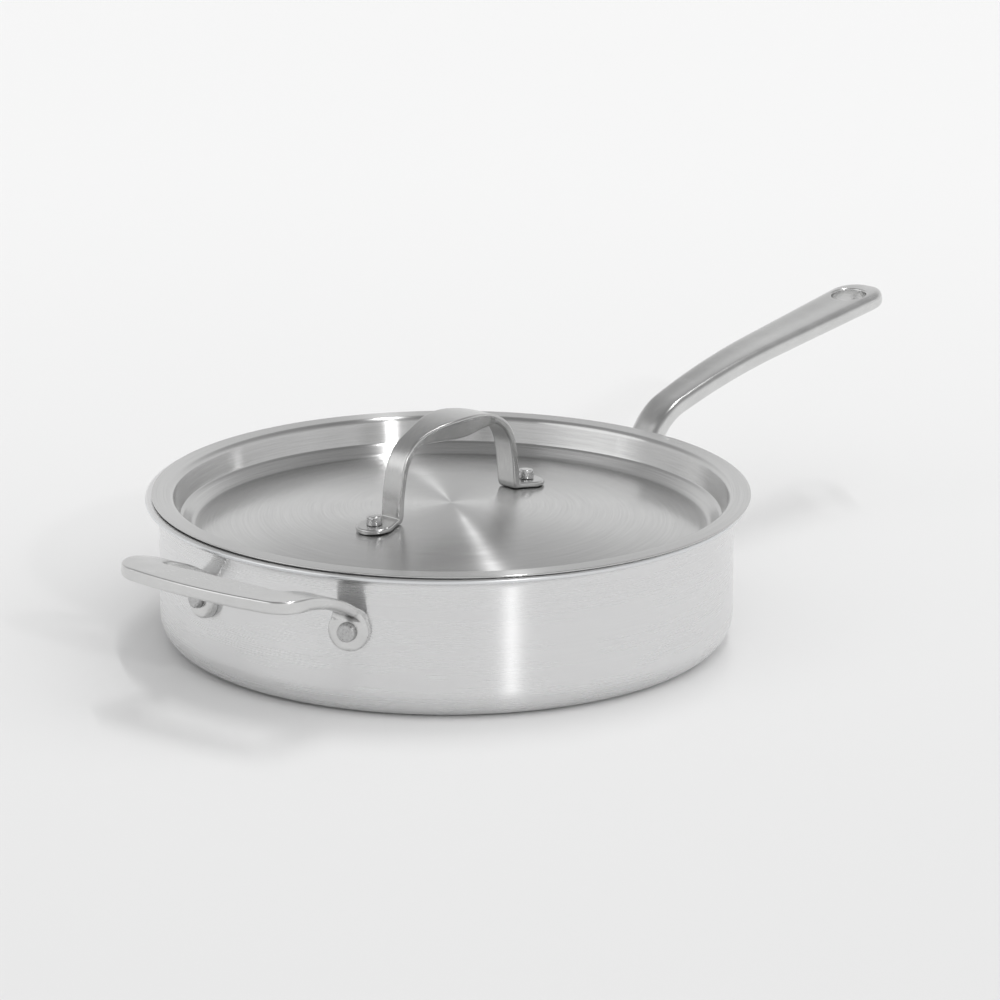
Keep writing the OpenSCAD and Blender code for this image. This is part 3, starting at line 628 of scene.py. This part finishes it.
def rivet_outline(shank, clamp, head, head_height, cap, cap_height, edge):
    """Half outline of a rivet along its axis: elliptic cap, shank, and a head with a small round at its
    foot, a side that leans in, a rounded top edge and a face that rises to the middle by a square law."""
    skirt_r, lean, crown_rise = 0.25, 0.35, 0.12
    base = clamp + seat_gap
    top = base + head_height
    face_r = head - lean - edge
    low = arc_points(0.0, -seat_gap, cap, cap_height, -90.0, 0.0, 16)
    under = [[shank, -seat_gap], [shank, base]]
    skirt = arc_points(head - skirt_r, base + skirt_r, skirt_r, skirt_r, -90.0, 0.0, 3)
    round_edge = arc_points(face_r, top - crown_rise - edge, edge, edge, 0.0, 80.0, 9)
    d = np.linspace(1.0, 0.0, 7)[1:]
    crown = np.column_stack([face_r * d, top - crown_rise * d ** 2])
    return np.concatenate([low, under, skirt, round_edge, crown])


def on_wall(angle, height):
    """Stand a turned shape on the wall: its axis points straight out at an angle round the pan."""
    a = math.radians(angle)

    def place(grid):
        out = inside_r + grid[..., 2]
        side = grid[..., 1]
        return np.stack([
            out * math.cos(a) - side * math.sin(a), out * math.sin(a) + side * math.cos(a),
            height - grid[..., 0],
        ], axis=-1)

    return place


def polished_rivet(name, dark, pale, roughness):
    """Polished rivet steel with fine scuffs from its tool."""
    material, tree, shader = new_material(name, pale)
    scuffs = even_noise(tree, scale=900.0, detail=4.0)
    tone_and_gloss(tree, shader, scuffs, dark, pale, roughness, 0.05)
    bump(tree, shader, scuffs, 1.5e-6)
    return material


rivet_steel = polished_rivet("rivet_steel", (0.42, 0.42, 0.42), (0.56, 0.56, 0.56), 0.3)


def rivet_set(name, outline, places, body, node, steel):
    """Turn the same outline at every place and join all of them into one piece."""
    grids = [place(turned_points(outline, 64)) for place in places]
    rows, columns = grids[0].shape[:2]
    quads = wrapped_quads(rows, columns, True, True)
    points = np.concatenate([grid.reshape(-1, 3) for grid in grids])
    piece = closed_mesh(name, points, [quads + i * rows * columns for i in range(len(grids))])
    piece.data.materials.append(steel)
    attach(piece, body)
    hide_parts(node)
    return piece


rivet_set(
    "long_handle_rivet_set",
    rivet_outline(shank_r, wall_t + pad_t, head_r, head_h, cap_r, cap_h, head_edge_r),
    [on_wall(pad_angle, pad_upper_z), on_wall(-pad_angle, pad_upper_z), on_wall(0.0, pad_lower_z)],
    "pan", "long_handle_rivets", rivet_steel,
)
rivet_set(
    "helper_handle_rivet_set",
    rivet_outline(shank_r, wall_t + ear_t, head_r, head_h, cap_r, cap_h, head_edge_r),
    [on_wall(180.0 + ear_turn + angle, ear_rivet_z) for angle in (ear_angle, -ear_angle)],
    "pan", "helper_handle_rivets", rivet_steel,
)


# ---- Helper handle ----
# One cast steel bar opposite the long handle: a flat plate for the fingers with two rounded corners, from
# which two arms slope down and narrow, and turn into round ears that are riveted flat against the wall.
helper_reach = 186.0
helper_z = 68.0
helper_w = 109.0
plate_w = 20.5
plate_t = 6.5
plate_bow = 3.0
arm_w = 16.5
plate_corner_r = 16.0
finger_corner_r = 6.0
flat_depth = 14.0
arm_slope = 33.0
ear_bend_r = 6.5
ear_neck_r = 7.4
ear_r = 10.0
crisp_r = 1.0
soft_r = 2.4
hidden_t = 1.4
neck_taper = 17.0
skew_fade = 1.5
arm_half = helper_w / 2
grip_mid_z = helper_z - plate_t / 2
inner_edge_x = helper_reach - plate_w
outer_corner_x = helper_reach - plate_bow - plate_corner_r
outer_corner_y = arm_half - plate_corner_r
inner_corner_x = inner_edge_x - finger_corner_r
inner_corner_y = arm_half - arm_w - finger_corner_r
ear_centre_r = pan_r + ear_t / 2
arm_start_x = (inner_corner_x + outer_corner_x) / 2
arm_start_y = arm_half - arm_w / 2
slope_start_x = helper_reach - flat_depth


def bar_outline(half_w, t, top_r, low_r, low_half_w):
    """Flat bar sections, one for each ring: four quarter round edges joined by straight faces with even
    points. half_w and t are arrays over the rings; the result is (ring, point, side place and height)."""
    upper = np.minimum(np.minimum(top_r, half_w * 0.9), t * 0.45)
    lower = np.minimum(np.minimum(low_r, low_half_w * 0.9), t * 0.5)
    corners = [
        (half_w - upper, t / 2 - upper, upper, 0.0),
        (-half_w + upper, t / 2 - upper, upper, 90.0),
        (-low_half_w + lower, -t / 2 + lower, lower, 180.0),
        (low_half_w - lower, -t / 2 + lower, lower, 270.0),
    ]
    arcs = []
    for centre_x, centre_y, radius, start in corners:
        a = np.radians(start + np.linspace(0.0, 90.0, 8))[None, :]
        side = centre_x[:, None] + radius[:, None] * np.cos(a)
        height = centre_y[:, None] + radius[:, None] * np.sin(a)
        arcs.append(np.stack([side, height], axis=-1))
    parts = []
    for arc, following, count in zip(arcs, arcs[1:] + arcs[:1], (11, 3, 11, 3)):
        share = np.linspace(0.0, 1.0, count + 2)[1:-1][None, :, None]
        parts += [arc, arc[:, -1:] + (following[:, :1] - arc[:, -1:]) * share]
    return np.concatenate(parts, axis=1)


def placed(section, centre, across, up):
    """Sections set at their centres, with their width along one vector and their thickness along another."""
    return centre[:, None, :] + section[..., 0:1] * across[:, None, :] + section[..., 1:2] * up[:, None, :]


def arm_curve_r(ear_x):
    """Radius of the arc along which an arm slopes down from the flat part to an ear at that distance."""
    a = math.radians(arm_slope)
    return (slope_start_x - ear_x - ear_bend_r * (1 - math.sin(a))) / math.sin(a)


def arm_drop(x, curve_r):
    """Drop below the plate's level along one arc that starts at the edge of the flat part."""
    return curve_r - np.sqrt(curve_r ** 2 - np.maximum(0.0, slope_start_x - x) ** 2)


def flat_rings(inner, outer, share, curve_r):
    """Rings of the plate between its inner and outer edge, lowered by a share of the arms' drop that grows
    to the corners."""
    low = np.column_stack([inner, grip_mid_z - share * arm_drop(inner[:, 0], curve_r)])
    high = np.column_stack([outer, grip_mid_z - share * arm_drop(outer[:, 0], curve_r)])
    half = (high - low) / 2
    size = np.linalg.norm(half, axis=1)
    across = half / size[:, None]
    level = np.column_stack([across[:, 1], -across[:, 0], np.zeros(len(across))])
    level /= np.linalg.norm(level, axis=1)[:, None]
    section = bar_outline(size, np.full(len(size), plate_t), crisp_r, soft_r, size)
    return placed(section, (low + high) / 2, across, np.cross(level, across))


def arm_bars(middle, slope, half_w, t, turn=0.0, skew=0.0, inside=0.0, outside=0.0):
    """Rings of an arm or ear: slope below the horizontal and turn towards the wall in degrees; the thickness
    grows on the wall's side by inside and shrinks on the outer side by outside."""
    slope, half_w, t, turn, skew, inside, outside = np.broadcast_arrays(
        slope, half_w, t, turn, skew, inside, outside
    )
    slope_a, turn_a = np.radians(slope), np.radians(turn)
    up = np.stack([-np.sin(slope_a) * np.cos(turn_a), -np.sin(slope_a) * np.sin(turn_a), np.cos(slope_a)], 1)
    skew_rise = skew * np.tan(np.radians(np.minimum(slope, 45.0)))
    across = np.stack([skew - np.sin(turn_a), np.cos(turn_a), skew_rise], 1)
    section = bar_outline(half_w, t + inside - outside, crisp_r, soft_r, half_w)
    return placed(section, middle + up * ((inside + outside) / 2)[:, None], across, up)


def ear_half_w(z):
    """An ear is a disc round its rivet that narrows upwards to its neck along two tangents."""
    above = z - ear_rivet_z
    taper = math.radians(neck_taper)
    neck = np.maximum(ear_neck_r, (ear_r - above * math.sin(taper)) / math.cos(taper))
    disc = np.sqrt(np.maximum(0.01, ear_r ** 2 - above ** 2))
    return np.where(above > ear_r * math.sin(taper), neck, disc)


def helper_half(angle):
    """One half from the middle of the plate to the foot of an ear that sits at an angle round the pan: the
    plate and its corner between their two edges, an arc down the arm, a tighter arc, and the upright ear."""
    turn = math.radians(angle)
    ear_x, ear_y = ear_centre_r * math.cos(turn), ear_centre_r * math.sin(turn)
    curve_r = arm_curve_r(ear_x)
    top_a = math.radians(arm_slope)
    arm_end_z = grip_mid_z - curve_r * (1 - math.cos(top_a))
    u = np.linspace(0.0, 1.0, 22)[:-1]
    plate = flat_rings(
        np.column_stack([np.full_like(u, inner_edge_x), inner_corner_y * u]),
        np.column_stack([helper_reach - plate_bow * u * u, outer_corner_y * u]), u * u, curve_r,
    )
    corner = flat_rings(
        arc_points(inner_corner_x, inner_corner_y, finger_corner_r, finger_corner_r, 0.0, 90.0, 30),
        arc_points(outer_corner_x, outer_corner_y, plate_corner_r, plate_corner_r, 0.0, 90.0, 30),
        np.ones(30), curve_r,
    )
    # The arm's first ring is the corner's last one, so it starts askew and straightens as it goes
    u = np.linspace(0.0, 1.0, 25)[1:]
    start_slope = math.degrees(math.asin((slope_start_x - arm_start_x) / curve_r))
    slope = start_slope + (arm_slope - start_slope) * u
    slope_a = np.radians(slope)
    arm = arm_bars(
        np.column_stack([
            slope_start_x - curve_r * np.sin(slope_a), arm_start_y + (ear_y - arm_start_y) * u,
            grip_mid_z - curve_r * (1 - np.cos(slope_a)),
        ]),
        slope, arm_w / 2 + (ear_neck_r - arm_w / 2) * u, plate_t + (ear_t - plate_t) * u,
        skew=(outer_corner_x - inner_corner_x) / arm_w * np.maximum(0.0, 1 - skew_fade * u) ** 2,
    )
    u = np.linspace(0.0, 1.0, 21)[1:]
    slope = arm_slope + (90 - arm_slope) * u
    slope_a = np.radians(slope)
    z = arm_end_z - ear_bend_r * (math.cos(top_a) - np.cos(slope_a))
    bend = arm_bars(
        np.column_stack([ear_x + ear_bend_r * (1 - np.sin(slope_a)), np.full_like(u, ear_y), z]),
        slope, ear_half_w(z), ear_t, turn=angle * u, inside=hidden_t * u,
    )
    top_z = arm_end_z - ear_bend_r * math.cos(top_a)
    foot_z = ear_rivet_z - ear_r
    z = foot_z + (top_z - foot_z) * (1 - np.sin(np.linspace(0.0, np.pi / 2, 41)[1:]))
    ear_part = arm_bars(
        np.column_stack([np.full_like(z, ear_x), np.full_like(z, ear_y), z]),
        90.0, ear_half_w(z), ear_t, turn=angle, inside=hidden_t,
        outside=soft_r - circle_side(soft_r, np.maximum(0.0, soft_r - (z - foot_z))),
    )
    return np.concatenate([plate, corner, arm, bend, ear_part])


near_half = helper_half(ear_angle + ear_turn)
far_half = helper_half(ear_angle - ear_turn)
helper_rings = np.concatenate([(far_half * np.array([1.0, -1.0, 1.0]))[::-1], near_half[1:]])
axis_distance = np.hypot(helper_rings[..., 0], helper_rings[..., 1])
helper_rings[..., :2] *= -np.maximum(1.0, (pan_r + wall_clear) / axis_distance)[..., None]

helper_handle = joined_rings("helper_bar_handle", [helper_rings], capped=((0, 0), (0, -1)))
helper_handle.data.materials.append(handle_steel)
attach(helper_handle, "pan")
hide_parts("helper_handle")


# ---- Lid ----
# One pressed steel sheet: a flat flange that rests on the lip, a wall stepping down to a narrow ledge,
# a sloping band and a floor that domes up towards the middle, all brushed in circles.
lid_r = 143.8
lid_t = 1.1
lid_gap = 0.3
lid_rim_w = 9.0
rim_bend_run = 1.4
step_run = 4.5
ledge_drop = 12.0
ledge_w = 1.5
ledge_fall = 0.7
groove_w = 6.5
groove_flat = 2.0
floor_drop = 17.0
dome_rise = 10.8
lid_edge_r = 0.25
ease_w = 1.3
ease_h = 0.82
lid_shift = (1.2, -1.9)
lid_turn = math.radians(-3.5)
rim_top_z = pan_h + lid_gap + lid_t
rim_in_r = lid_r - lid_rim_w
ledge_r = rim_in_r - step_run
floor_r = ledge_r - ledge_w - groove_w
ledge_z = rim_top_z - ledge_drop
floor_z = rim_top_z - floor_drop
dome_r = (floor_r ** 2 + dome_rise ** 2) / (2 * dome_rise)
dome_centre_z = floor_z + dome_rise - dome_r


def dome_z(x):
    """Height of the dome's upper face: a ball's surface at that distance from the lid's centre."""
    return dome_centre_z + np.sqrt(dome_r ** 2 - np.asarray(x, float) ** 2)


def rounded_corner(before, corner, after, r, count):
    """An arc of radius r between the two straight lines that meet at a corner, as points at even angles."""
    before, corner, after = (np.array(p, float) for p in (before, corner, after))
    u = (before - corner) / np.linalg.norm(before - corner)
    v = (after - corner) / np.linalg.norm(after - corner)
    half = math.acos(float(u @ v)) / 2
    mid = (u + v) / np.linalg.norm(u + v)
    centre = corner + mid * r / math.sin(half)
    first = corner + u * r / math.tan(half) - centre
    last = corner + v * r / math.tan(half) - centre
    sweep = math.pi - 2 * half
    t = np.linspace(0.0, 1.0, count)[:, None]
    return centre + (first * np.sin((1 - t) * sweep) + last * np.sin(t * sweep)) / math.sin(sweep)


def filled(line, gap):
    """The same line with extra even points wherever two neighbours are farther apart than the gap."""
    pieces = []
    for a, b in zip(line[:-1], line[1:]):
        count = max(1, int(math.ceil(np.linalg.norm(b - a) / gap)))
        pieces.append(a + (b - a) * np.linspace(0.0, 1.0, count, endpoint=False)[:, None])
    return np.concatenate(pieces + [line[-1:]])


rim_corner = (rim_in_r - rim_bend_run, rim_top_z)
wall_foot = (ledge_r, ledge_z)
band_top = (ledge_r - ledge_w, ledge_z - ledge_fall)
band_foot = (floor_r + groove_flat, floor_z)
dome_x = np.linspace(0.0, floor_r, 90)
lid_top = filled(np.concatenate([
    np.column_stack([dome_x, dome_z(dome_x)]),
    rounded_corner((floor_r, floor_z), band_foot, band_top, r=4.0, count=12),
    rounded_corner(band_foot, band_top, wall_foot, r=1.2, count=8),
    rounded_corner(band_top, wall_foot, rim_corner, r=0.8, count=6),
    rounded_corner(wall_foot, rim_corner, (lid_r, rim_top_z), r=3.0, count=14),
    [[lid_r - lid_edge_r, rim_top_z]],
]), gap=1.6)
lid_slope = np.gradient(lid_top, axis=0)
lid_slope /= np.linalg.norm(lid_slope, axis=1)[:, None]
lid_slope[[0, -1]] = (1.0, 0.0)
lid_under = lid_top + lid_t * np.column_stack([lid_slope[:, 1], -lid_slope[:, 0]])
# The flange's edge is crisp above and eased below, where it leaves a dark gap over the pan's lip
crisp_h = lid_t - ease_h
upper_edge = arc_points(lid_r - lid_edge_r, rim_top_z - crisp_h, lid_edge_r, crisp_h, 80.0, 0.0, 8)
lower_edge = arc_points(lid_r - ease_w, rim_top_z - crisp_h, ease_w, ease_h, 0.0, -85.0, 9)[1:]
flange_under = lid_under[lid_under[:, 0] < lid_r - ease_w]
lid_outline = np.concatenate([lid_top, upper_edge, lower_edge, flange_under[::-1]])


def on_pan(grid):
    """Turn the lid's parts with the lid and move them sideways by its play on the lip."""
    c, s = math.cos(lid_turn), math.sin(lid_turn)
    x, y = grid[..., 0], grid[..., 1]
    return np.stack([lid_shift[0] + x * c - y * s, lid_shift[1] + x * s + y * c, grid[..., 2]], axis=-1)


lid_steel = circle_brushed(
    "lid_sheet", (0.53, 0.53, 0.528), (0.70, 0.70, 0.697), roughness=0.20, roughness_spread=0.03,
    brushed=1.0, line_depth=0.0, line_scale=2200.0, cloud_share=0.35, seed=5.0,
)
lid_sheet = turned_piece("lid_sheet", lid_outline, 320, on_pan)
lid_sheet.data.materials.append(lid_steel)
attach(lid_sheet, "lid")
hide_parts("lid")


# ---- Lid handle ----
# A cast steel strap bent into a bridge: round feet riveted to the dome, short bends, legs that rise almost
# upright and round over at the shoulders, and a crown that widens to an oval and thickens downwards.
foot_x = 53.6
foot_r = 9.1
foot_len = 10.1
foot_t = 2.7
strap_t = 4.0
leg_w = 11.6
crown_w = 20.6
foot_bend_r = 2.6
leg_len = 4.2
leg_curve_r = 95.0
leg_angle = 86.0
shoulder_start = 76.0
shoulder_r = 20.0
shoulder_end = 22.5
crown_belly = 1.7
widen_from = 30.0
foot_edge = 0.9
heel_share = 0.8
belly_edge_r = 1.5
belly_lean = 0.25
least_w = 0.02
dome_tilt = math.asin(foot_x / dome_r)
tilt_cos, tilt_sin = math.cos(dome_tilt), math.sin(dome_tilt)
foot_lift = foot_t / 2 + seat_gap
dome_foot_z = float(dome_z(foot_x))
tilt_deg = math.degrees(dome_tilt)
strap_line = centre_line(
    (-(foot_x + foot_lift * tilt_sin), dome_foot_z + foot_lift * tilt_cos), tilt_deg,
    [
        (foot_len, 0.0), (foot_bend_r * (math.radians(leg_angle) - dome_tilt), leg_angle - tilt_deg),
        (leg_len, 0.0), (leg_curve_r * math.radians(leg_angle - shoulder_start), shoulder_start - leg_angle),
        (shoulder_r * math.radians(shoulder_start - shoulder_end), shoulder_end - shoulder_start),
    ],
    step=0.55,
)
shoulder_top = strap_line[-1]
end_a = math.radians(shoulder_end)
crown_r = -shoulder_top[0] / math.sin(end_a)
crown_a = end_a * (1 - np.linspace(0.0, 1.0, 41)[1:])
crown_x = crown_r * np.sin(crown_a)
crown_z = shoulder_top[1] + crown_r * (1 - math.cos(end_a)) - crown_r * (1 - np.cos(crown_a))
foot_taper = math.atan2(foot_len, leg_w / 2) - math.acos(foot_r / math.hypot(foot_len, leg_w / 2))


def strap_half_width(x, s):
    """Half width: a disc round the rivet with two tangents down to the leg's width, then the leg, then a
    squared cosine that widens to the crown. x is the distance from the middle and s that from the rivet."""
    disc = circle_side(foot_r, s)
    taper = (foot_r - s * math.sin(foot_taper)) / math.cos(foot_taper)
    foot = np.maximum(leg_w / 2, np.where(s > foot_r * math.sin(foot_taper), taper, disc))
    widening = (crown_w - leg_w) / 2 * np.cos(np.pi / 2 * x / widen_from) ** 2
    return np.where(x > foot_x - foot_len, foot, leg_w / 2 + np.where(x < widen_from, widening, 0.0))


toe = foot_r * np.cos(np.linspace(0.0, np.pi / 2, 30)[:-1])
toe_x = foot_x + toe * tilt_cos + foot_lift * tilt_sin
toe_z = dome_foot_z - toe * tilt_sin + foot_lift * tilt_cos
line_x = np.concatenate([toe_x, -strap_line[:, 0], crown_x])
line_z = np.concatenate([toe_z, strap_line[:, 1], crown_z])
line_a = np.concatenate([np.full(len(toe), dome_tilt), np.radians(strap_line[:, 2]), crown_a])
strap_w = np.concatenate([
    circle_side(foot_r, toe), strap_half_width(-strap_line[:, 0], foot_x + strap_line[:, 0]),
    strap_half_width(crown_x, foot_x),
])
# Below the crown the strap thickens so that its underside runs level with a slight bow
under_z = shoulder_top[1] - strap_t / 2 * math.cos(end_a)
bow = crown_belly * (1 - (crown_x / -shoulder_top[0]) ** 2)
belly = (crown_z - strap_t / 2 * np.cos(crown_a) - under_z + bow) / np.cos(crown_a)
# Round the foot's bend the foot grows to the strap's thickness, and the heel outside it is nearly square
strap_steps = np.linalg.norm(np.diff(strap_line[:, :2], axis=0), axis=1)
strap_run = np.concatenate([[0.0], strap_steps.cumsum()])
bend_turn = math.radians(leg_angle) - dome_tilt
bend_share = np.clip((strap_run - foot_len) / (foot_bend_r * bend_turn), 0.0, 1.0)
walk_t = foot_t + (strap_t - foot_t) * bend_share * bend_share
heel_turn = bend_turn * np.minimum(bend_share, 1.0 - bend_share)
heel = heel_share * (foot_bend_r + walk_t / 2) * (1.0 / np.cos(heel_turn) - 1.0)
base_t = np.concatenate([np.full(len(toe), foot_t), walk_t, np.full(len(crown_a), strap_t)])
extra = np.concatenate([np.zeros(len(toe)), heel, np.maximum(0.0, belly)])
strap_section = bar_outline(
    np.maximum(strap_w, least_w), base_t + extra, crisp_r,
    crisp_r + belly_edge_r * np.minimum(1.0, extra / strap_t),
    np.maximum(strap_w - belly_lean * extra, least_w),
)
# The toe's edge is rounded square to its round outline: every height has its own radius
toe_section = strap_section[:len(toe)]
toe_side, toe_h = toe_section[..., 0], toe_section[..., 1]
flank = np.sign(toe_side) * np.clip(np.abs(toe_side) / strap_w[:len(toe), None].clip(least_w), 0.0, 1.0)
flat_h = foot_t / 2 - foot_edge
past_edge = np.maximum(0.0, foot_edge - (foot_r - toe))[:, None]
reach_h = np.minimum(np.abs(toe_h), flat_h + circle_side(foot_edge, past_edge))
disc_r = foot_r - foot_edge + circle_side(foot_edge, np.maximum(0.0, reach_h - flat_h))
toe_section[..., 0] = flank * circle_side(disc_r, toe[:, None])
toe_section[..., 1] = np.sign(toe_h) * reach_h
strap_half = placed(
    strap_section,
    np.column_stack([line_x - extra / 2 * np.sin(line_a), 0.0 * line_x, line_z - extra / 2 * np.cos(line_a)]),
    np.broadcast_to(np.array([0.0, 1.0, 0.0]), (len(line_x), 3)),
    np.column_stack([np.sin(line_a), 0.0 * line_a, np.cos(line_a)]),
)
strap_rings = on_pan(np.concatenate([strap_half, (strap_half * np.array([-1.0, 1.0, 1.0]))[-2::-1]]))

# The same satin finish as the pan's own handles, with its tone darkened as painted shade
shaded_bridge_steel = satin_casting(
    "bridge_casting_painted_shade", (0.49, 0.49, 0.487), (0.60, 0.60, 0.596), roughness=0.24, seed=9.0,
)
lid_handle = joined_rings("bridge_handle", [strap_rings])
lid_handle.data.materials.append(shaded_bridge_steel)
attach(lid_handle, "lid")
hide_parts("lid_handle")


# ---- Lid rivets ----
# Two solid steel rivets driven from under the lid, one through each foot of its handle. Their low caps lie
# under the dome, and their tall formed heads stand square on the feet.
lid_shank_r = 2.3
lid_head_r = 3.9
lid_head_h = 4.5
lid_head_edge_r = 0.8
lid_cap_r = 5.0
lid_cap_h = 2.0


def on_dome(side):
    """Stand a turned shape on the dome, square to it, at one side of the lid's centre."""

    def place(grid):
        z = grid[..., 2] - lid_t
        x = foot_x + grid[..., 0] * tilt_cos + z * tilt_sin
        height = dome_foot_z - grid[..., 0] * tilt_sin + z * tilt_cos
        return on_pan(np.stack([side * x, side * grid[..., 1], height], axis=-1))

    return place


lid_rivet_steel = polished_rivet("lid_rivet_steel", (0.56, 0.56, 0.56), (0.68, 0.68, 0.68), 0.25)
lid_clamp = lid_t + foot_t + seat_gap
rivet_set(
    "lid_rivet_set",
    rivet_outline(lid_shank_r, lid_clamp, lid_head_r, lid_head_h, lid_cap_r, lid_cap_h, lid_head_edge_r),
    [on_dome(1.0), on_dome(-1.0)], "lid", "lid_rivets", lid_rivet_steel,
)


# ---- Floor, backdrop and light ----
# A pale sweep under pale air that darkens upwards. The sweep's colour has painted light in it: darker near
# the camera and paler far off. Two very broad lamps, from the right and from the front, give the soft shadow,
# a small one each lights the pan's wall and the lid's, and a long narrow strip overhead draws the bright
# streaks across the lid.
def light_painted_stage(name, corners, near_painted_shade, far_painted_light):
    """A flat stage surface. Its tone goes from near to far by a smooth step over the distance from the
    camera, a painted fall of light that leaves it darker near the camera, and a faint cloud is added to it."""
    mesh = bpy.data.meshes.new(name)
    mesh.from_pydata(corners, [], [(0, 1, 2, 3)])
    stage = bpy.data.objects.new(name, mesh)
    bpy.context.collection.objects.link(stage)
    material, tree, shader = new_material(name, (near_painted_shade,) * 3, 0.0)
    shader.inputs["Roughness"].default_value = 0.9
    shader.inputs["Specular IOR Level"].default_value = 0.1
    place = new_node(tree, "TexCoord")
    to_camera = (math.sin(view_azimuth), -math.cos(view_azimuth), 0.0)
    nearness = new_node(
        tree, "VectorMath", {0: place.outputs["Object"], 1: to_camera}, operation="DOT_PRODUCT"
    )
    # Painted light: the floor's tone darkens towards the camera and pales away from it
    tone = new_node(tree, "MapRange", {
        "Value": nearness.outputs["Value"], "From Min": 0.7, "From Max": -1.15, "To Min": 0.0, "To Max": 1.0,
    }, interpolation_type="SMOOTHSTEP")
    cloud = math_node(tree, "MULTIPLY", even_noise(tree, scale=3.0, detail=2.0), 0.04)
    shade = math_node(tree, "ADD", tone.outputs[0], cloud)
    tint(tree, shader, (near_painted_shade,) * 3, (far_painted_light,) * 3, shade)
    mesh.materials.append(material)
    return stage


floor_half, floor_level = 40.0, -2e-4
floor_corners = [
    (floor_half * x, floor_half * y, floor_level) for x, y in ((-1, -1), (1, -1), (1, 1), (-1, 1))
]
light_painted_stage("studio_floor", floor_corners, near_painted_shade=0.735, far_painted_light=0.825)

fill_tone = 0.49
low_air_tone = 0.88
high_air_tone = 0.26
world = bpy.data.worlds.new("studio_air")
world.use_nodes = True
bpy.context.scene.world = world
air_tree = world.node_tree
air_fill = air_tree.nodes["Background"]
air_fill.inputs["Color"].default_value = (*(fill_tone,) * 3, 1.0)
air_fill.inputs["Strength"].default_value = 1.0
look = new_node(air_tree, "TexCoord")
look_split = new_node(air_tree, "SeparateXYZ", {0: look.outputs["Generated"]})
air_node = new_node(air_tree, "ValToRGB", {0: look_split.outputs[2]})
air_ramp = air_node.color_ramp
air_ramp.interpolation = "EASE"
air_ramp.elements[0].color = (*(low_air_tone,) * 3, 1.0)
air_ramp.elements[1].color = (*(high_air_tone,) * 3, 1.0)
for air_height, level in ((0.3, 0.80), (0.67, 0.42)):
    air_ramp.elements.new(air_height).color = (*(level,) * 3, 1.0)
air_seen = new_node(air_tree, "Background", {"Color": air_node.outputs[0]})
# The graded air is what the camera and the steel see, and the plain fill is what lights the rest
ray = new_node(air_tree, "LightPath")
seen_or_mirrored = math_node(air_tree, "MAXIMUM", ray.outputs["Is Camera Ray"], ray.outputs["Is Glossy Ray"])
seen = math_node(air_tree, "MAXIMUM", seen_or_mirrored, ray.outputs["Is Transmission Ray"])
air_mix = new_node(air_tree, "MixShader", {0: seen, 1: air_fill.outputs[0], 2: air_seen.outputs[0]})
air_tree.links.new(air_mix.outputs[0], air_tree.nodes["World Output"].inputs["Surface"])


def far_lamp(name, turn, rise, width, power, mirrored=True, on_floor=True):
    """A distant lamp seen at (turn to the right of the camera, rise) in degrees, as wide as the given angle.
    It may be left out of what the steel mirrors, or of the light on the floor and other dull surfaces."""
    data = bpy.data.lights.new(name, "SUN")
    data.angle = math.radians(width)
    data.energy = power
    lamp = bpy.data.objects.new(name, data)
    lamp.rotation_euler = (math.pi / 2 - math.radians(rise), 0.0, view_azimuth + math.radians(turn))
    lamp.visible_glossy = mirrored
    lamp.visible_diffuse = on_floor
    bpy.context.collection.objects.link(lamp)


far_lamp("shadow_lamp", turn=62.0, rise=48.0, width=88.0, power=1.15, mirrored=False)
far_lamp("front_lamp", turn=-8.0, rise=46.0, width=110.0, power=0.70, mirrored=False)
far_lamp("wall_lamp", turn=26.4, rise=25.0, width=2.5, power=0.3)
far_lamp("lid_lamp", turn=-70.0, rise=34.0, width=46.0, power=0.36, on_floor=False)

# The strip hangs in the upright plane through the streaks on the lid: streak_turn is that plane's turn to the
# right of the camera, and strip_side, strip_back and strip_height are the lamp's place from it
streak_turn = math.radians(12.85)
strip_side, strip_back, strip_height = 1.82, 2.0, 8.0
strip_skew = math.radians(2.8)
across_streak = view_azimuth + streak_turn
strip_data = bpy.data.lights.new("strip_lamp", "AREA")
strip_data.shape = "RECTANGLE"
strip_data.size = 0.14
strip_data.size_y = 4.0
strip_data.energy = 125.0
strip_lamp = bpy.data.objects.new("strip_lamp", strip_data)
strip_lamp.location = (
    strip_side * math.cos(across_streak) - strip_back * math.sin(across_streak),
    strip_side * math.sin(across_streak) + strip_back * math.cos(across_streak),
    strip_height,
)
strip_lamp.rotation_euler = (0.0, 0.0, across_streak - strip_skew)
bpy.context.collection.objects.link(strip_lamp)

bpy.context.scene.view_settings.view_transform = "Standard"
